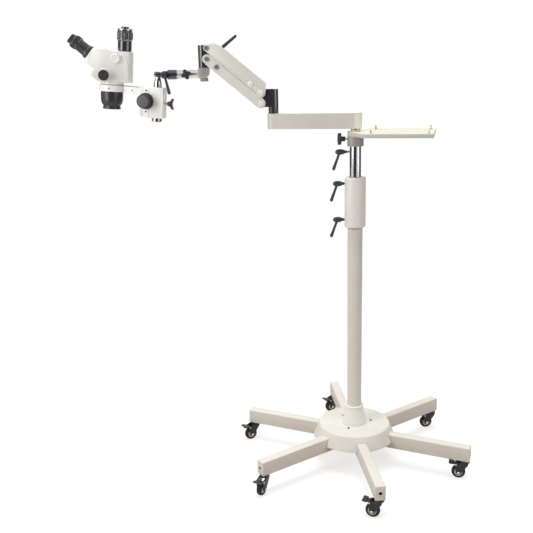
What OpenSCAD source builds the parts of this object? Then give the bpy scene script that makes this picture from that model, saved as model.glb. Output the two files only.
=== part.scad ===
// Trinocular stereo microscope on a rolling floor stand.
// The column axis is Z and the floor is z = 0. The tray points along +X and the boom along -X.

/* [Casters] */
// Floor to the underside of a leg
caster_h = 81; // [72:1:100]
// Wheel diameter over the tread
wheel_d = 56; // [46:1:60]
// Wheel width over the tread
wheel_w = 22; // [16:1:24]
// Diameter of the wheel axle
axle_d = 8; // [6:0.5:12]
// Distance from the swivel axis to the axle
caster_trail = 24; // [22:1:32]
// Diameter of the swivel stem that stands up into the leg
caster_stem_d = 12; // [8:1:16]
// Diameter of the round crown under the leg
caster_crown_d = 40; // [34:1:48]

/* [Base] */
// Centre of the base to the end face of a leg
leg_reach = 494; // [380:1:600]
// Width of a leg tube
leg_w = 40; // [30:1:50]
// Height of a leg tube
leg_h = 60; // [40:1:80]
// Wall of a leg tube
leg_wall = 3; // [2:0.5:5]
// Diameter of the hole in a leg's end face
leg_hole_d = 14; // [6:0.5:18]
// Distance across the flats of the hexagonal core that the legs meet
core_flats = 150; // [120:1:200]
// Diameter of the round pan at its top
pan_top_d = 300; // [260:1:360]
// Diameter of the round pan at the foot of its skirt
pan_foot_d = 344; // [310:1:400]
// Height of the pan's top above the legs
pan_rise = 25; // [20:1:45]
// Height of the skirt's foot above the underside of the legs
pan_lift = 26; // [10:1:40]
// Sheet thickness of the pan
pan_wall = 4; // [2:0.5:6]
// Radius of the circle of screws in the pan's top
pan_screw_r = 72; // [60:1:76]

/* [Column] */
// Outside diameter of the column tube
column_d = 60; // [50:1:70]
// Wall of the column tube
column_wall = 3; // [2:0.5:4]
// Height of the cone cover at the column's foot
boot_h = 82; // [60:1:120]
// Diameter of the cone cover at its top
boot_top_d = 76; // [70:1:90]
// Diameter of the cone cover at its foot
boot_foot_d = 102; // [92:1:120]
// Height of the foot of the clamp collar above the floor
collar_z = 1020; // [800:5:1100]
// Length of the clamp collar
collar_h = 200; // [160:5:260]
// Outside diameter of the clamp collar
collar_d = 84; // [76:1:100]
// Length at the collar's head that guides the mast
collar_guide_h = 45; // [40:1:60]
// Radius of the collar's rounded rims
collar_round = 6; // [2:0.5:9]

/* [Mast] */
// Outside diameter of the sliding mast
mast_d = 45; // [40:1:50]
// Height of the mast's top above the floor
mast_top = 1399; // [1390:1:1500]
// Length of the mast
mast_len = 519; // [450:1:600]
// Diameter of the spindle that carries the boom
spindle_d = 28; // [20:1:32]
// Length of the spindle inside the mast
spindle_len = 120; // [90:1:180]
// Height of the mast lever below the mast's top
mast_lever_drop = 79; // [74:1:100]
// Thickness of the brass thrust washer
washer_h = 4; // [2:0.5:6]

/* [Tray] */
// Column axis to the free edge of the tray
tray_reach = 303; // [250:1:400]
// Column axis to the start of the tray's full depth
tray_shoulder = 45; // [36:1:70]
// Depth of the tray
tray_depth = 260; // [220:1:320]
// Height of the tray's lip
tray_lip = 15; // [10:1:25]
// Sheet thickness of the tray
tray_wall = 3; // [2:0.5:4]
// Outside diameter of the collar under the tray
tray_collar_d = 63; // [58:1:80]
// Length of the collar under the tray
tray_collar_h = 57; // [50:1:62]
// Distance between studs along the tray
stud_pitch_x = 215; // [150:1:220]
// Distance between studs across the tray
stud_pitch_y = 190; // [120:1:200]
// Centre of the stud rectangle from the column axis
stud_centre = 177; // [170:1:180]
// Diameter of a stud
stud_d = 6.5; // [4:0.5:10]
// Height of a stud above the tray
stud_h = 9.5; // [5:0.5:9.5]

/* [Boom] */
// Column axis to the elbow axis
boom_reach = 326; // [280:1:400]
// Width of the boom
boom_w = 50; // [46:1:60]
// Height of the boom
boom_h = 60; // [50:1:80]
// Wall of the hollow boom
boom_wall = 4; // [3:0.5:6]
// Gap between the mast's top and the boom
boom_gap = 11; // [11:0.5:16]

/* [Elbow and links] */
// Diameter of the elbow and wrist posts
post_d = 40; // [36:1:40]
// Height of the elbow post above the boom
elbow_h = 95; // [90:1:110]
// Diameter of the elbow's journal in the boom
journal_d = 24; // [18:1:28]
// Elbow axis to the link pivots
pivot_out = 49; // [46:1:60]
// Height of the lower elbow pivot above the boom
pivot_z = 40.3; // [38:0.1:44]
// Vertical distance between the upper and lower pivots
pivot_gap = 41.2; // [40:0.1:44]
// Length of a link between its pivots
link_len = 270; // [240:1:320]
// Overall width of the upper link
link_w = 50; // [50:1:56]
// Sheet thickness of both links
link_wall = 2; // [1.5:0.5:2]
// Upper link's top web above its pivot line
link_crown = 41.5; // [40:0.5:46]
// Upper link's lower edge below its pivot line
link_skirt = 11.5; // [10:0.5:11.5]
// Half height of the lower link
link_half = 19.8; // [18:0.1:20]
// Diameter of the link pivot pins
pin_d = 12; // [8:0.5:12]
// Upper link's spring anchor from its elbow pivot
anchor_upper = 52; // [48:1:70]
// Lower link's spring anchor from its elbow pivot
anchor_lower = 222; // [190:1:224]
// Outside diameter of the balance spring
spring_d = 16; // [10:1:18]
// Length of the arm's lock handle
handle_len = 66; // [40:1:90]

/* [Wrist] */
// Wrist axis to the link pivots
wrist_in = 14; // [13:0.5:16]
// Height of the wrist post below the lower wrist pivot
wrist_drop = 32.6; // [30:0.1:40]
// Height of the wrist post
wrist_h = 85; // [85:1:100]
// Height of the swivel block
swivel_h = 39; // [36:1:46]
// Height of the roll axis above the foot of the swivel block
roll_z = 16; // [16:0.5:19]
// Diameter of the sleeve that holds the roll shaft
sleeve_d = 31; // [29:1:31]
// Wrist axis to the end of the sleeve
sleeve_out = 104; // [94:1:120]
// Diameter of the roll shaft
shaft_d = 24; // [18:1:24]
// Diameter of the clamp barrel
barrel_d = 37; // [34:1:44]
// Length of the clamp barrel
barrel_len = 35; // [30:1:45]
// Wrist axis to the star knob on the sleeve
roll_knob_out = 68; // [60:1:74]
// Radius of the barrel's ears round the tilt axis
ear_r = 14; // [12:0.5:14]
// Diameter of the tilt bolt
tilt_bolt_d = 10; // [6:0.5:12]
// Tilt axis to the drop rod's axis
rod_out = 24; // [24:1:32]

/* [Focus mount] */
// Diameter of the drop rod
rod_d = 32; // [26:1:32]
// Roll axis to the foot of the drop rod
rod_len = 184; // [183:1:200]
// Roll axis to the top of the focus block
block_drop = 50; // [46:1:51]
// Height of the focus block
block_h = 118; // [112:1:119]
// Width of the focus block
block_w = 48; // [44:1:56]
// Rod axis to the face that guides the carriage
block_face = 45; // [40:1:48]
// Rod axis to the rear of the focus block
block_back = 31; // [26:1:36]
// Height of the focus axis below the roll axis
focus_drop = 104; // [98:1:112]
// Diameter of the inner step of a focus knob
focus_knob_d = 62; // [50:1:66]
// Diameter of the outer step of a focus knob
focus_grip_d = 52; // [40:1:56]
// Radius at which the pinion drives the rack
pinion_r = 6; // [5:0.5:7]
// Rod axis to the optical axis
optical_out = 189; // [180:1:220]
// Outside diameter of the ring that holds the head
ring_d = 100; // [94:1:120]
// Height of the ring
ring_h = 24; // [20:1:30]
// Diameter of the ring's bore and the head's neck
neck_d = 76; // [60:1:80]
// Height of the bar between the carriage and the ring
bar_h = 32; // [28:1:40]
// Thickness of that bar
bar_w = 24; // [16:1:30]

/* [Head] */
// Half width of the head at the eyepieces
head_half = 52; // [48:1:60]
// Half width of the head at its back
head_back_half = 34; // [32:1:38]
// Height of the head's flat top under the photo tube
head_top = 119; // [114:1:121]
// Optical axis to the photo tube's axis
photo_back = 47; // [44:1:50]
// Diameter of the photo tube's lower barrel
photo_d = 55; // [50:1:58]
// Height of the photo tube
photo_h = 94; // [84:1:120]
// Bore of the photo tube
photo_bore_d = 23.2; // [20:0.1:30]
// Angle of the eyepieces above the horizontal
eye_rise = 36; // [32:1:40]
// Distance between the eyepieces
eye_pitch = 56; // [54:1:62]
// Diameter of a zoom knob
zoom_d = 41; // [30:1:46]
// Diameter of the objective cup
cup_d = 88; // [80:1:100]
// Height of the objective cup
cup_h = 67; // [60:1:80]
// Diameter of the rim at the foot of the objective cup
cup_rim_d = 70; // [60:1:74]

/* [Pose] */
// Direction of a leg, counted from the tray
leg_turn = 48.85; // [0:0.05:60]
// Turn of the arm at the elbow
elbow_turn = 14; // [-60:1:60]
// Elevation of the links
link_rise = 40.2; // [0:0.1:45]
// Tilt of the head at the barrel
head_tilt = 5; // [-10:0.5:20]
// Turn of the focus block on its rod
focus_turn = -11; // [-30:1:30]
// Turn of the head in its ring
head_turn = 18; // [-30:1:30]

/* [Hidden] */
$fn = 48;

cream = [0.86, 0.84, 0.78];
white = [0.90, 0.91, 0.87];
black = [0.07, 0.07, 0.08];
chrome = [0.75, 0.76, 0.78];
grey = [0.66, 0.66, 0.64];
brass = [0.78, 0.58, 0.25];
glass = [0.55, 0.65, 0.70];

// Radial clearance of a shaft that turns or slides in its bore
run_fit = 0.05;
// The same for the casters' stems in the legs
stem_fit = 0.15;
// Radial clearance at the pivot where the linkage is opened
open_fit = 0.5;
// Gap between faces that pass each other
pass_gap = 0.4;
// Gap between faces that turn against each other
seat_gap = 0.1;
// Overshoot of a cutting solid
cut = 1;

// Directions in which the casters trail, counted from +X, one for each leg in turn
trail_turn = [204, 222, 222, 254, 172, 179];
leg_count = 6;
leg_pitch = 360 / leg_count;

leg_top = caster_h + leg_h;
leg_mid = caster_h + leg_h / 2;
pan_top = leg_top + pan_rise;
pan_foot = caster_h + pan_lift;
caster_r = leg_reach - leg_w / 2;
axle_z = wheel_d / 2;
fork_in = wheel_w / 2 + 2;
fork_wall = 3.5;
fork_out = fork_in + fork_wall;
crown_h = 10;
crown_z = caster_h - crown_h;
pedal_x = caster_trail + 10;
pedal_z = axle_z + wheel_d / 2 + 6;
pedal_pin_d = 6;
pedal_hub_d = 9;
pedal_len = 27;

core_bore_d = column_d + 2 * run_fit;
column_foot = caster_h + 5;
column_top = collar_z + collar_h - collar_guide_h;
column_bore_d = column_d - 2 * column_wall;
collar_top = collar_z + collar_h;
upper_lever_z = collar_top - 25;
lower_lever_z = collar_z + 30;
side_turn = 194;
boot_lip_h = 8;
boot_lip = 1.5;

mast_foot = mast_top - mast_len;
mast_bore_d = spindle_d + 2 * run_fit;
mast_guide_h = 40;
mast_lever_z = mast_top - mast_lever_drop;
tray_knob_z = mast_top - tray_collar_h / 2;
boom_z = mast_top + boom_gap;
boom_top = boom_z + boom_h;
boom_r = boom_w / 2;
spindle_in_boom = 40;
stud_shank_d = stud_d - 1;
stud_lift = 0.6;

lever_stem_d = 8;
lever_stem = 2;
mast_lever_stem = 12;
lever_hub = 44;
lever_hub_d = 21;
lever_neck_d = 12;
lever_arm = 76;
lever_lean = 20;
star_stem_d = 8;

elbow_lower = boom_top + pivot_z;
elbow_upper = elbow_lower + pivot_gap;
link_out = link_len * cos(link_rise);
link_up = link_len * sin(link_rise);
wrist_out = pivot_out + link_out + wrist_in;
wrist_lower = elbow_lower + link_up;
wrist_upper = wrist_lower + pivot_gap;
wrist_foot = wrist_lower - wrist_drop;
lower_w = link_w - 2 * link_wall - 0.6;
lug_r = 14;
lug_w = post_d - 2;
wrist_lug = 24;
cap_h = 4.5;

swivel_foot = wrist_foot - swivel_h;
roll_axis = swivel_foot + roll_z;
swivel_nut_h = 13;
swivel_pin_d = 18;
barrel_in = sleeve_out + 3;
tilt_out = barrel_in + barrel_len + ear_r;
tongue_w = 12;
// Barrel's side to the tilt lever's arm, which clears the focus block
tilt_arm_out = block_w / 2 - barrel_d / 2 + 17;
ear_w = barrel_d / 2 - 3;
drop_pin_d = 20;
drop_cap_d = 19;
rod_shoulder = 36;
block_top = -block_drop;
block_foot = block_top - block_h;
stop_ring_h = 10;
focus_out = block_face - pinion_r;
focus_shaft_d = 8;
wing_drop = 6;
knob_step = 12;
knob_grip = 26;
carriage_w = 40;
carriage_t = 22;
carriage_in = block_face + 0.2;
carriage_out = carriage_in + carriage_t;
carriage_top = block_top - 1;
carriage_h = block_h - 4;
ring_top = carriage_top - 2;
ring_foot = ring_top - ring_h;
neck_flange_h = 12;
head_foot = ring_top + neck_flange_h;
neck_len = neck_flange_h + ring_h + 2;

seat_x = 87.5;
seat_z = 104;
seat_half = 27;
seat_drop = 33;
zoom_x = 31;
zoom_z = 25.5;
side_cap_x = -12;
side_cap_z = 91;
zoom_boss_out = 50;
zoom_knob_h = 17;
zoom_shaft_d = 8;
eye_stub_d = 28;
eye_stub = 16;
seat_dir = [-sin(eye_rise), cos(eye_rise)];
seat_high = [seat_x, seat_z] + seat_half * seat_dir;
seat_low = [seat_x, seat_z] - seat_drop * seat_dir;

// Places along the arm: in each, x points outwards along the arm and y towards the viewer's side
module boom_frame() rotate([0, 0, 180]) children();
module elbow_frame() boom_frame() translate([boom_reach, 0, 0]) rotate([0, 0, elbow_turn]) children();
module link_frame(z) elbow_frame() translate([pivot_out, 0, z]) rotate([0, -link_rise, 0]) children();
module wrist_frame() elbow_frame() translate([wrist_out, 0, 0]) children();
module roll_frame() wrist_frame() translate([0, 0, roll_axis]) children();
module drop_frame()
    roll_frame() translate([tilt_out, 0, 0]) rotate([0, -head_tilt, 0]) translate([rod_out, 0, 0]) children();
module focus_frame() drop_frame() rotate([0, 0, focus_turn]) children();
module head_frame() focus_frame() translate([optical_out, 0, head_foot]) rotate([0, 0, head_turn]) children();
module leg_frame(i) rotate([0, 0, leg_turn + leg_pitch * i]) children();
module caster_frame(n)
    leg_frame(n - 1) translate([caster_r, 0, 0])
        rotate([0, 0, trail_turn[n - 1] - leg_turn - leg_pitch * (n - 1)]) children();
module side_frame(z) rotate([0, 0, side_turn]) translate([0, 0, z]) children();

// The same thing on the near and the far side
module both_sides() {
    children();
    mirror([0, 1, 0]) children();
}
// Round bars along x and y, and plates that stand in the x-z plane
module bar_x(d, from, to) translate([from, 0, 0]) rotate([0, 90, 0]) cylinder(d = d, h = to - from);
module bar_y(d, from, to) translate([0, from, 0]) rotate([-90, 0, 0]) cylinder(d = d, h = to - from);
module ring(d_out, d_in, h) difference() {
    cylinder(d = d_out, h = h);
    translate([0, 0, -cut]) cylinder(d = d_in, h = h + 2 * cut);
}
// A plate whose outline is drawn in x and z, from y = from to y = to
module plate_y(from, to)
    translate([0, to, 0]) rotate([90, 0, 0]) linear_extrude(height = to - from) children();
module stadium(len, d, h) {
    cylinder(d = d, h = h);
    translate([len, 0, 0]) cylinder(d = d, h = h);
    translate([0, -d / 2, 0]) cube([len, d, h]);
}

// Clamp lever along x: a threaded stem, a spindle-shaped hub and an arm that hangs and leans outwards
module clamp_arm(stem_in, hub_at) {
    hub_mid = hub_at + lever_hub / 2;
    bar_x(lever_stem_d, -stem_in, hub_at + cut);
    rotate([0, 90, 0]) rotate_extrude() polygon([
        [0, hub_at],
        [lever_neck_d / 2, hub_at],
        [lever_hub_d / 2, hub_mid - 4],
        [lever_hub_d / 2, hub_mid + 8],
        [lever_neck_d / 2, hub_at + lever_hub],
        [0, hub_at + lever_hub]
    ]);
    translate([hub_mid + 5, 0, 0]) rotate([0, 180 - lever_lean, 0]) lever_handle(lever_arm);
}
// Handle along z, flaring towards a rounded tip
module lever_handle(len) {
    cylinder(d1 = 11, d2 = 10, h = len * 0.75);
    translate([0, 0, len * 0.75]) cylinder(d1 = 10, d2 = 13, h = len * 0.25 - 3);
    translate([0, 0, len - 3 - 2]) sphere(d = 13);
}
// Star knob along x: a stem, a neck and a lobed grip
module star_knob(stem_in, neck, lobes, grip_d, grip_h) {
    lobe_d = grip_d * 0.34;
    lobe_at = grip_d / 2 - lobe_d / 2;
    bar_x(star_stem_d, -stem_in, neck + grip_h - 2);
    bar_x(grip_d * 0.42, 4, neck + 2);
    translate([neck, 0, 0]) rotate([0, 90, 0]) {
        cylinder(d = 2 * lobe_at, h = grip_h);
        for (i = [0 : lobes - 1]) rotate([0, 0, i * 360 / lobes]) translate([lobe_at, 0, 0])
            cylinder(d = lobe_d, h = grip_h);
    }
}

// Base weldment: the hexagonal core and the six leg tubes that meet its flats
module leg_tube() difference() {
    translate([core_flats / 2, -leg_w / 2, caster_h]) cube([leg_reach - core_flats / 2, leg_w, leg_h]);
    translate([core_flats / 2 + leg_wall, leg_wall - leg_w / 2, caster_h + leg_wall])
        cube([leg_reach - core_flats / 2 - 2 * leg_wall, leg_w - 2 * leg_wall, leg_h - 2 * leg_wall]);
    translate([0, 0, leg_mid]) bar_x(leg_hole_d, leg_reach - leg_wall - cut, leg_reach + cut);
    translate([caster_r, 0, caster_h - cut])
        cylinder(d = caster_stem_d + 2 * stem_fit, h = leg_wall + 2 * cut);
}
module base_core() difference() {
    rotate([0, 0, leg_turn + leg_pitch / 2]) translate([0, 0, caster_h])
        cylinder(r = core_flats / 2 / cos(30), h = pan_top - pan_wall - caster_h, $fn = 6);
    translate([0, 0, caster_h - cut]) cylinder(d = core_bore_d, h = pan_top);
    pan_screw_places() translate([0, 0, pan_top - 30]) cylinder(d = 5.1, h = 40);
}
module base_legs() color(cream) {
    base_core();
    for (i = [0 : leg_count - 1]) leg_frame(i) leg_tube();
}

// Round pan over the core, with a notch over each leg
module pan_screw_places()
    for (i = [0 : 2]) rotate([0, 0, leg_turn - leg_pitch / 2 + 120 * i])
        translate([pan_screw_r, 0, 0]) children();
module base_hub() color(cream) difference() {
    rotate_extrude($fn = 96) polygon([
        [core_bore_d / 2 + 0.2, pan_top],
        [pan_top_d / 2 - 5, pan_top],
        [pan_top_d / 2 - 1.5, pan_top - 1.5],
        [pan_top_d / 2, pan_top - 5],
        [pan_foot_d / 2, pan_foot],
        [pan_foot_d / 2 - pan_wall, pan_foot],
        [pan_top_d / 2 - pan_wall, pan_top - 6],
        [pan_top_d / 2 - pan_wall - 3, pan_top - pan_wall],
        [core_bore_d / 2 + 0.2, pan_top - pan_wall]
    ]);
    for (i = [0 : leg_count - 1]) leg_frame(i)
        translate([core_flats / 2 + cut, -leg_w / 2 - 0.5, caster_h])
            cube([pan_foot_d, leg_w + 1, leg_h + 0.5]);
    pan_screw_places() translate([0, 0, pan_top - pan_wall - cut]) cylinder(d = 5.2, h = pan_wall + 2 * cut);
}
module hub_screws() color(black) pan_screw_places() {
    translate([0, 0, pan_top]) cylinder(d = 9, h = 2.5);
    translate([0, 0, pan_top - 20]) cylinder(d = 5, h = 20);
}

// Casters
module wheel_profile() {
    half = wheel_w / 2;
    tread = wheel_d / 2;
    polygon([
        [axle_d / 2 + run_fit, -half],
        [tread * 0.34, -half],
        [tread * 0.34, -half + 3],
        [tread * 0.62, -half + 3],
        [tread * 0.62, -half],
        [tread - 5, -half],
        [tread - 1.5, -half + 3.5],
        [tread, -half + 8],
        [tread, half - 8],
        [tread - 1.5, half - 3.5],
        [tread - 5, half],
        [tread * 0.62, half],
        [tread * 0.62, half - 3],
        [tread * 0.34, half - 3],
        [tread * 0.34, half],
        [axle_d / 2 + run_fit, half]
    ]);
}
module caster_wheel(n)
    color(black) caster_frame(n) translate([caster_trail, 0, axle_z]) rotate([90, 0, 0])
        rotate_extrude() wheel_profile();
// Outline of a fork cheek: from the crown down to the axle, and out to the pedal's pin
module cheek_outline() {
    axle_r = 10;
    polygon([
        [-caster_crown_d / 2 + 5, crown_z + 2],
        [-caster_crown_d / 2 + 7, crown_z - 8],
        [caster_trail - axle_r, axle_z - 2],
        [caster_trail, axle_z - axle_r],
        [caster_trail + axle_r, axle_z],
        [pedal_x + pedal_hub_d / 2 - 1, pedal_z - 3],
        [pedal_x, pedal_z + pedal_hub_d / 2],
        [caster_crown_d / 2 - 4, crown_z + 2]
    ]);
    translate([caster_trail, axle_z]) circle(r = axle_r);
    translate([pedal_x, pedal_z]) circle(d = pedal_hub_d);
}
module caster_fork(n) color(black) caster_frame(n) {
    translate([0, 0, crown_z]) cylinder(d = caster_crown_d, h = crown_h - seat_gap);
    translate([0, 0, crown_z]) cylinder(d = caster_stem_d, h = crown_h + leg_wall + 14);
    both_sides() plate_y(fork_in, fork_out) cheek_outline();
    translate([caster_trail, 0, axle_z]) bar_y(axle_d, -fork_out - 2, fork_out + 2);
    translate([pedal_x, 0, pedal_z]) bar_y(pedal_pin_d, -fork_out - 1, fork_out + 1);
}
module brake_pedal(n) color(black) caster_frame(n) translate([pedal_x, 0, pedal_z]) difference() {
    union() {
        bar_y(pedal_hub_d, pass_gap - fork_in, fork_in - pass_gap);
        plate_y(pass_gap - fork_in, fork_in - pass_gap)
            polygon([
                [0, 0],
                [8, 0.5],
                [pedal_len, 4],
                [pedal_len - 1, 8.5],
                [6, pedal_hub_d / 2],
                [0, pedal_hub_d / 2]
            ]);
        plate_y(-fork_out - 2, fork_out + 2)
            polygon([[10, 2], [pedal_len, 4], [pedal_len + 3, 6], [pedal_len - 1, 9.5], [10, 6.5]]);
    }
    bar_y(pedal_pin_d + 2 * run_fit, -fork_out, fork_out);
}

// Column, its cone cover and the clamp collar
module column_tube() color(cream) translate([0, 0, column_foot])
    ring(column_d, column_bore_d, column_top - column_foot);
module column_boot() color(white) rotate_extrude($fn = 64) polygon([
    [column_d / 2 + 0.2, pan_top],
    [boot_foot_d / 2, pan_top],
    [boot_foot_d / 2, pan_top + 3],
    [boot_top_d / 2, pan_top + boot_h - boot_lip_h - 2],
    [boot_top_d / 2 + boot_lip, pan_top + boot_h - boot_lip_h],
    [boot_top_d / 2 + boot_lip, pan_top + boot_h - 2],
    [boot_top_d / 2 - 1, pan_top + boot_h],
    [column_d / 2 + 0.2, pan_top + boot_h]
]);
// Points round a rim of radius r: up the outside to the top, or from the foot out to the side
function rim_point(r, z, up, round, a) = [r - round + round * cos(a), z - up * (round - round * sin(a))];
function rim_top(r, z, round) = [for (a = [0 : 15 : 90]) rim_point(r, z, 1, round, a)];
function rim_foot(r, z, round) = [for (a = [90 : -15 : 0]) rim_point(r, z, -1, round, a)];
module column_collar() color(white) difference() {
    rotate_extrude($fn = 64) polygon(concat(
        [[column_d / 2 + run_fit, collar_z]],
        rim_foot(collar_d / 2, collar_z, collar_round),
        rim_top(collar_d / 2, collar_top, collar_round),
        [
            [mast_d / 2 + run_fit, collar_top],
            [mast_d / 2 + run_fit, column_top],
            [column_d / 2 + run_fit, column_top]
        ]
    ));
    for (z = [lower_lever_z, upper_lever_z]) side_frame(z)
        bar_x(lever_stem_d + 2 * run_fit, mast_d / 2, collar_d / 2 + cut);
}
module collar_lever(z) color(black) side_frame(z) translate([collar_d / 2, 0, 0]) clamp_arm(8, lever_stem);
module collar_lever_upper() collar_lever(upper_lever_z);
module collar_lever_lower() collar_lever(lower_lever_z);

// Mast: a bored tube with a guide ring swaged on its foot
module mast_tube() color(chrome) difference() {
    union() {
        translate([0, 0, mast_foot]) cylinder(d = mast_d, h = mast_len);
        translate([0, 0, mast_foot + 5]) cylinder(d = column_bore_d - 2 * run_fit, h = mast_guide_h);
    }
    translate([0, 0, mast_foot - cut]) cylinder(d = mast_bore_d, h = mast_len + 2 * cut);
    side_frame(mast_lever_z) bar_x(lever_stem_d + 2 * run_fit, 0, mast_d);
}
module mast_lever() color(black)
    side_frame(mast_lever_z) translate([mast_d / 2, 0, 0]) clamp_arm(7, mast_lever_stem);

// Tray: a folded plate that widens from the collar, with its lip turned down
function tangent_turn(r, corner) = atan2(corner[1], corner[0]) + acos(r / norm(corner));
module tray_outline(inset) {
    r = tray_collar_d / 2 - inset;
    corner = [tray_shoulder + inset * 0.7, tray_depth / 2 - inset];
    touch = tangent_turn(r, corner);
    circle(r = r);
    polygon([
        [tray_reach - inset, -corner[1]],
        [tray_reach - inset, corner[1]],
        corner,
        [r * cos(touch), r * sin(touch)],
        [r * cos(touch), -r * sin(touch)],
        [corner[0], -corner[1]]
    ]);
}
module stud_places() for (x = [-1, 1], y = [-1, 1])
    translate([stud_centre + x * stud_pitch_x / 2, y * stud_pitch_y / 2, mast_top]) children();
module tray_plate() color(cream) difference() {
    union() {
        difference() {
            translate([0, 0, mast_top - tray_lip]) linear_extrude(height = tray_lip) tray_outline(0);
            translate([0, 0, mast_top - tray_lip - cut])
                linear_extrude(height = tray_lip - tray_wall + cut) tray_outline(tray_wall);
        }
        translate([0, 0, mast_top - tray_collar_h]) cylinder(d = tray_collar_d, h = tray_collar_h);
    }
    translate([0, 0, mast_top - tray_collar_h - cut])
        cylinder(d = mast_d + 2 * run_fit, h = tray_collar_h + 2 * cut);
    side_frame(tray_knob_z) bar_x(star_stem_d + 2 * run_fit, mast_d / 2 - cut, tray_collar_d);
    stud_places() translate([0, 0, -tray_lip - cut]) cylinder(d = stud_shank_d + 0.1, h = tray_lip + 2 * cut);
}
module tray_studs() color(brass) stud_places() {
    translate([0, 0, -tray_wall]) cylinder(d = stud_shank_d, h = tray_wall + 2);
    translate([0, 0, stud_lift]) cylinder(d = stud_d, h = stud_h - stud_lift);
    translate([0, 0, -tray_wall - 3]) cylinder(d = stud_d + 5, h = 3);
}
module tray_knob() color(black) side_frame(tray_knob_z) translate([tray_collar_d / 2, 0, 0])
    star_knob(7, 24, 6, 46, 14);

// Boom: a hollow casting with a boss at each end
module boom_arm() color(cream) boom_frame() translate([0, 0, boom_z]) difference() {
    union() {
        difference() {
            stadium(boom_reach, boom_w, boom_h);
            translate([0, 0, boom_wall]) stadium(boom_reach, boom_w - 2 * boom_wall, boom_h - 2 * boom_wall);
        }
        for (x = [0, boom_reach]) translate([x, 0, 0]) cylinder(d = boom_w - 2 * boom_wall + cut, h = boom_h);
    }
    translate([0, 0, -cut]) cylinder(d = spindle_d + 2 * run_fit, h = spindle_in_boom + cut);
    translate([boom_reach, 0, boom_wall]) cylinder(d = journal_d + 2 * run_fit, h = boom_h);
}
// Spindle under the boom, with the brass washer that its shoulder turns on
module boom_spindle() {
    color(grey) translate([0, 0, mast_top - spindle_len])
        cylinder(d = spindle_d, h = spindle_len + boom_gap + spindle_in_boom);
    color(grey) translate([0, 0, mast_top + washer_h]) cylinder(d = spindle_d + 6, h = boom_gap - washer_h);
    color(brass) translate([0, 0, mast_top]) ring(spindle_d + 10, spindle_d, washer_h);
}

// Elbow post with its journal and the lug that carries the two link pivots
module lug_outline(reach, low, high) {
    for (z = [low, high]) translate([reach, z]) circle(r = lug_r);
    translate([0, low - lug_r]) square([reach, high - low + 2 * lug_r]);
    translate([0, low]) square([reach + lug_r, high - low]);
}
module elbow_post() color(black) elbow_frame() difference() {
    union() {
        translate([0, 0, boom_top]) cylinder(d = post_d, h = elbow_h);
        translate([0, 0, boom_z + boom_wall + 1]) cylinder(d = journal_d, h = boom_h);
        plate_y(-lug_w / 2, lug_w / 2) lug_outline(pivot_out, elbow_lower, elbow_upper);
    }
    for (z = [elbow_lower, elbow_upper])
        translate([pivot_out, 0, z]) bar_y(pin_d + 2 * run_fit, -post_d, post_d);
}

// Links: two channels, the lower one running inside the upper one
module upper_outline() {
    end_r = 18;
    nose_r = 12;
    circle(r = end_r);
    translate([link_len, 0]) circle(r = nose_r);
    polygon([
        [0, -link_skirt],
        [link_len, -link_skirt],
        [link_len + 7, 9.7],
        [link_len - 10, link_crown - 9.5],
        [link_len - 44, link_crown],
        [6, link_crown],
        [-16, 8]
    ]);
}
module upper_link() color(cream) link_frame(elbow_upper) difference() {
    union() {
        both_sides() plate_y(link_w / 2 - link_wall, link_w / 2) upper_outline();
        translate([6, -link_w / 2, link_crown - link_wall]) cube([link_len - 50, link_w, link_wall]);
    }
    for (x = [0, link_len]) translate([x, 0, 0]) bar_y(pin_d + 2 * run_fit, -link_w, link_w);
    translate([anchor_upper, 0, 0]) bar_y(pin_d - 2 + 2 * run_fit, -link_w, link_w);
    translate([link_len - 46, 0, link_crown]) cylinder(d = 8 + 2 * run_fit, h = 20, center = true);
}
module lower_outline() {
    for (x = [0, link_len]) translate([x, 0]) circle(r = link_half - 2);
    translate([0, -link_half]) square([link_len - 6, 2 * link_half]);
}
module lower_link() color(cream) link_frame(elbow_lower) difference() {
    union() {
        both_sides() plate_y(lower_w / 2 - link_wall, lower_w / 2) lower_outline();
        translate([0, -lower_w / 2, -link_half]) cube([link_len - 52, lower_w, link_wall]);
    }
    for (x = [0, link_len]) translate([x, 0, 0]) bar_y(pin_d + 2 * run_fit, -link_w, link_w);
    translate([anchor_lower, 0, 0]) bar_y(pin_d - 2 + 2 * run_fit, -link_w, link_w);
}
// A pivot pin with a round cap at both ends
module capped_pin(d, width, cap_d) {
    bar_y(d, -width / 2 - 1, width / 2 + 1);
    both_sides() bar_y(cap_d, width / 2, width / 2 + cap_h);
}
module upper_link_pins() color(white) link_frame(elbow_upper) {
    capped_pin(pin_d, link_w, 22);
    translate([anchor_upper, 0, 0]) capped_pin(pin_d - 2, link_w, 19);
    translate([link_len, 0, 0]) capped_pin(pin_d, link_w, 19);
}
module lower_link_pins() color(white) link_frame(elbow_lower) {
    capped_pin(pin_d, lower_w, 22);
    translate([anchor_lower, 0, 0]) capped_pin(pin_d - 2, lower_w, 19);
    translate([link_len, 0, 0]) capped_pin(pin_d, lower_w, 19);
}
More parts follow.
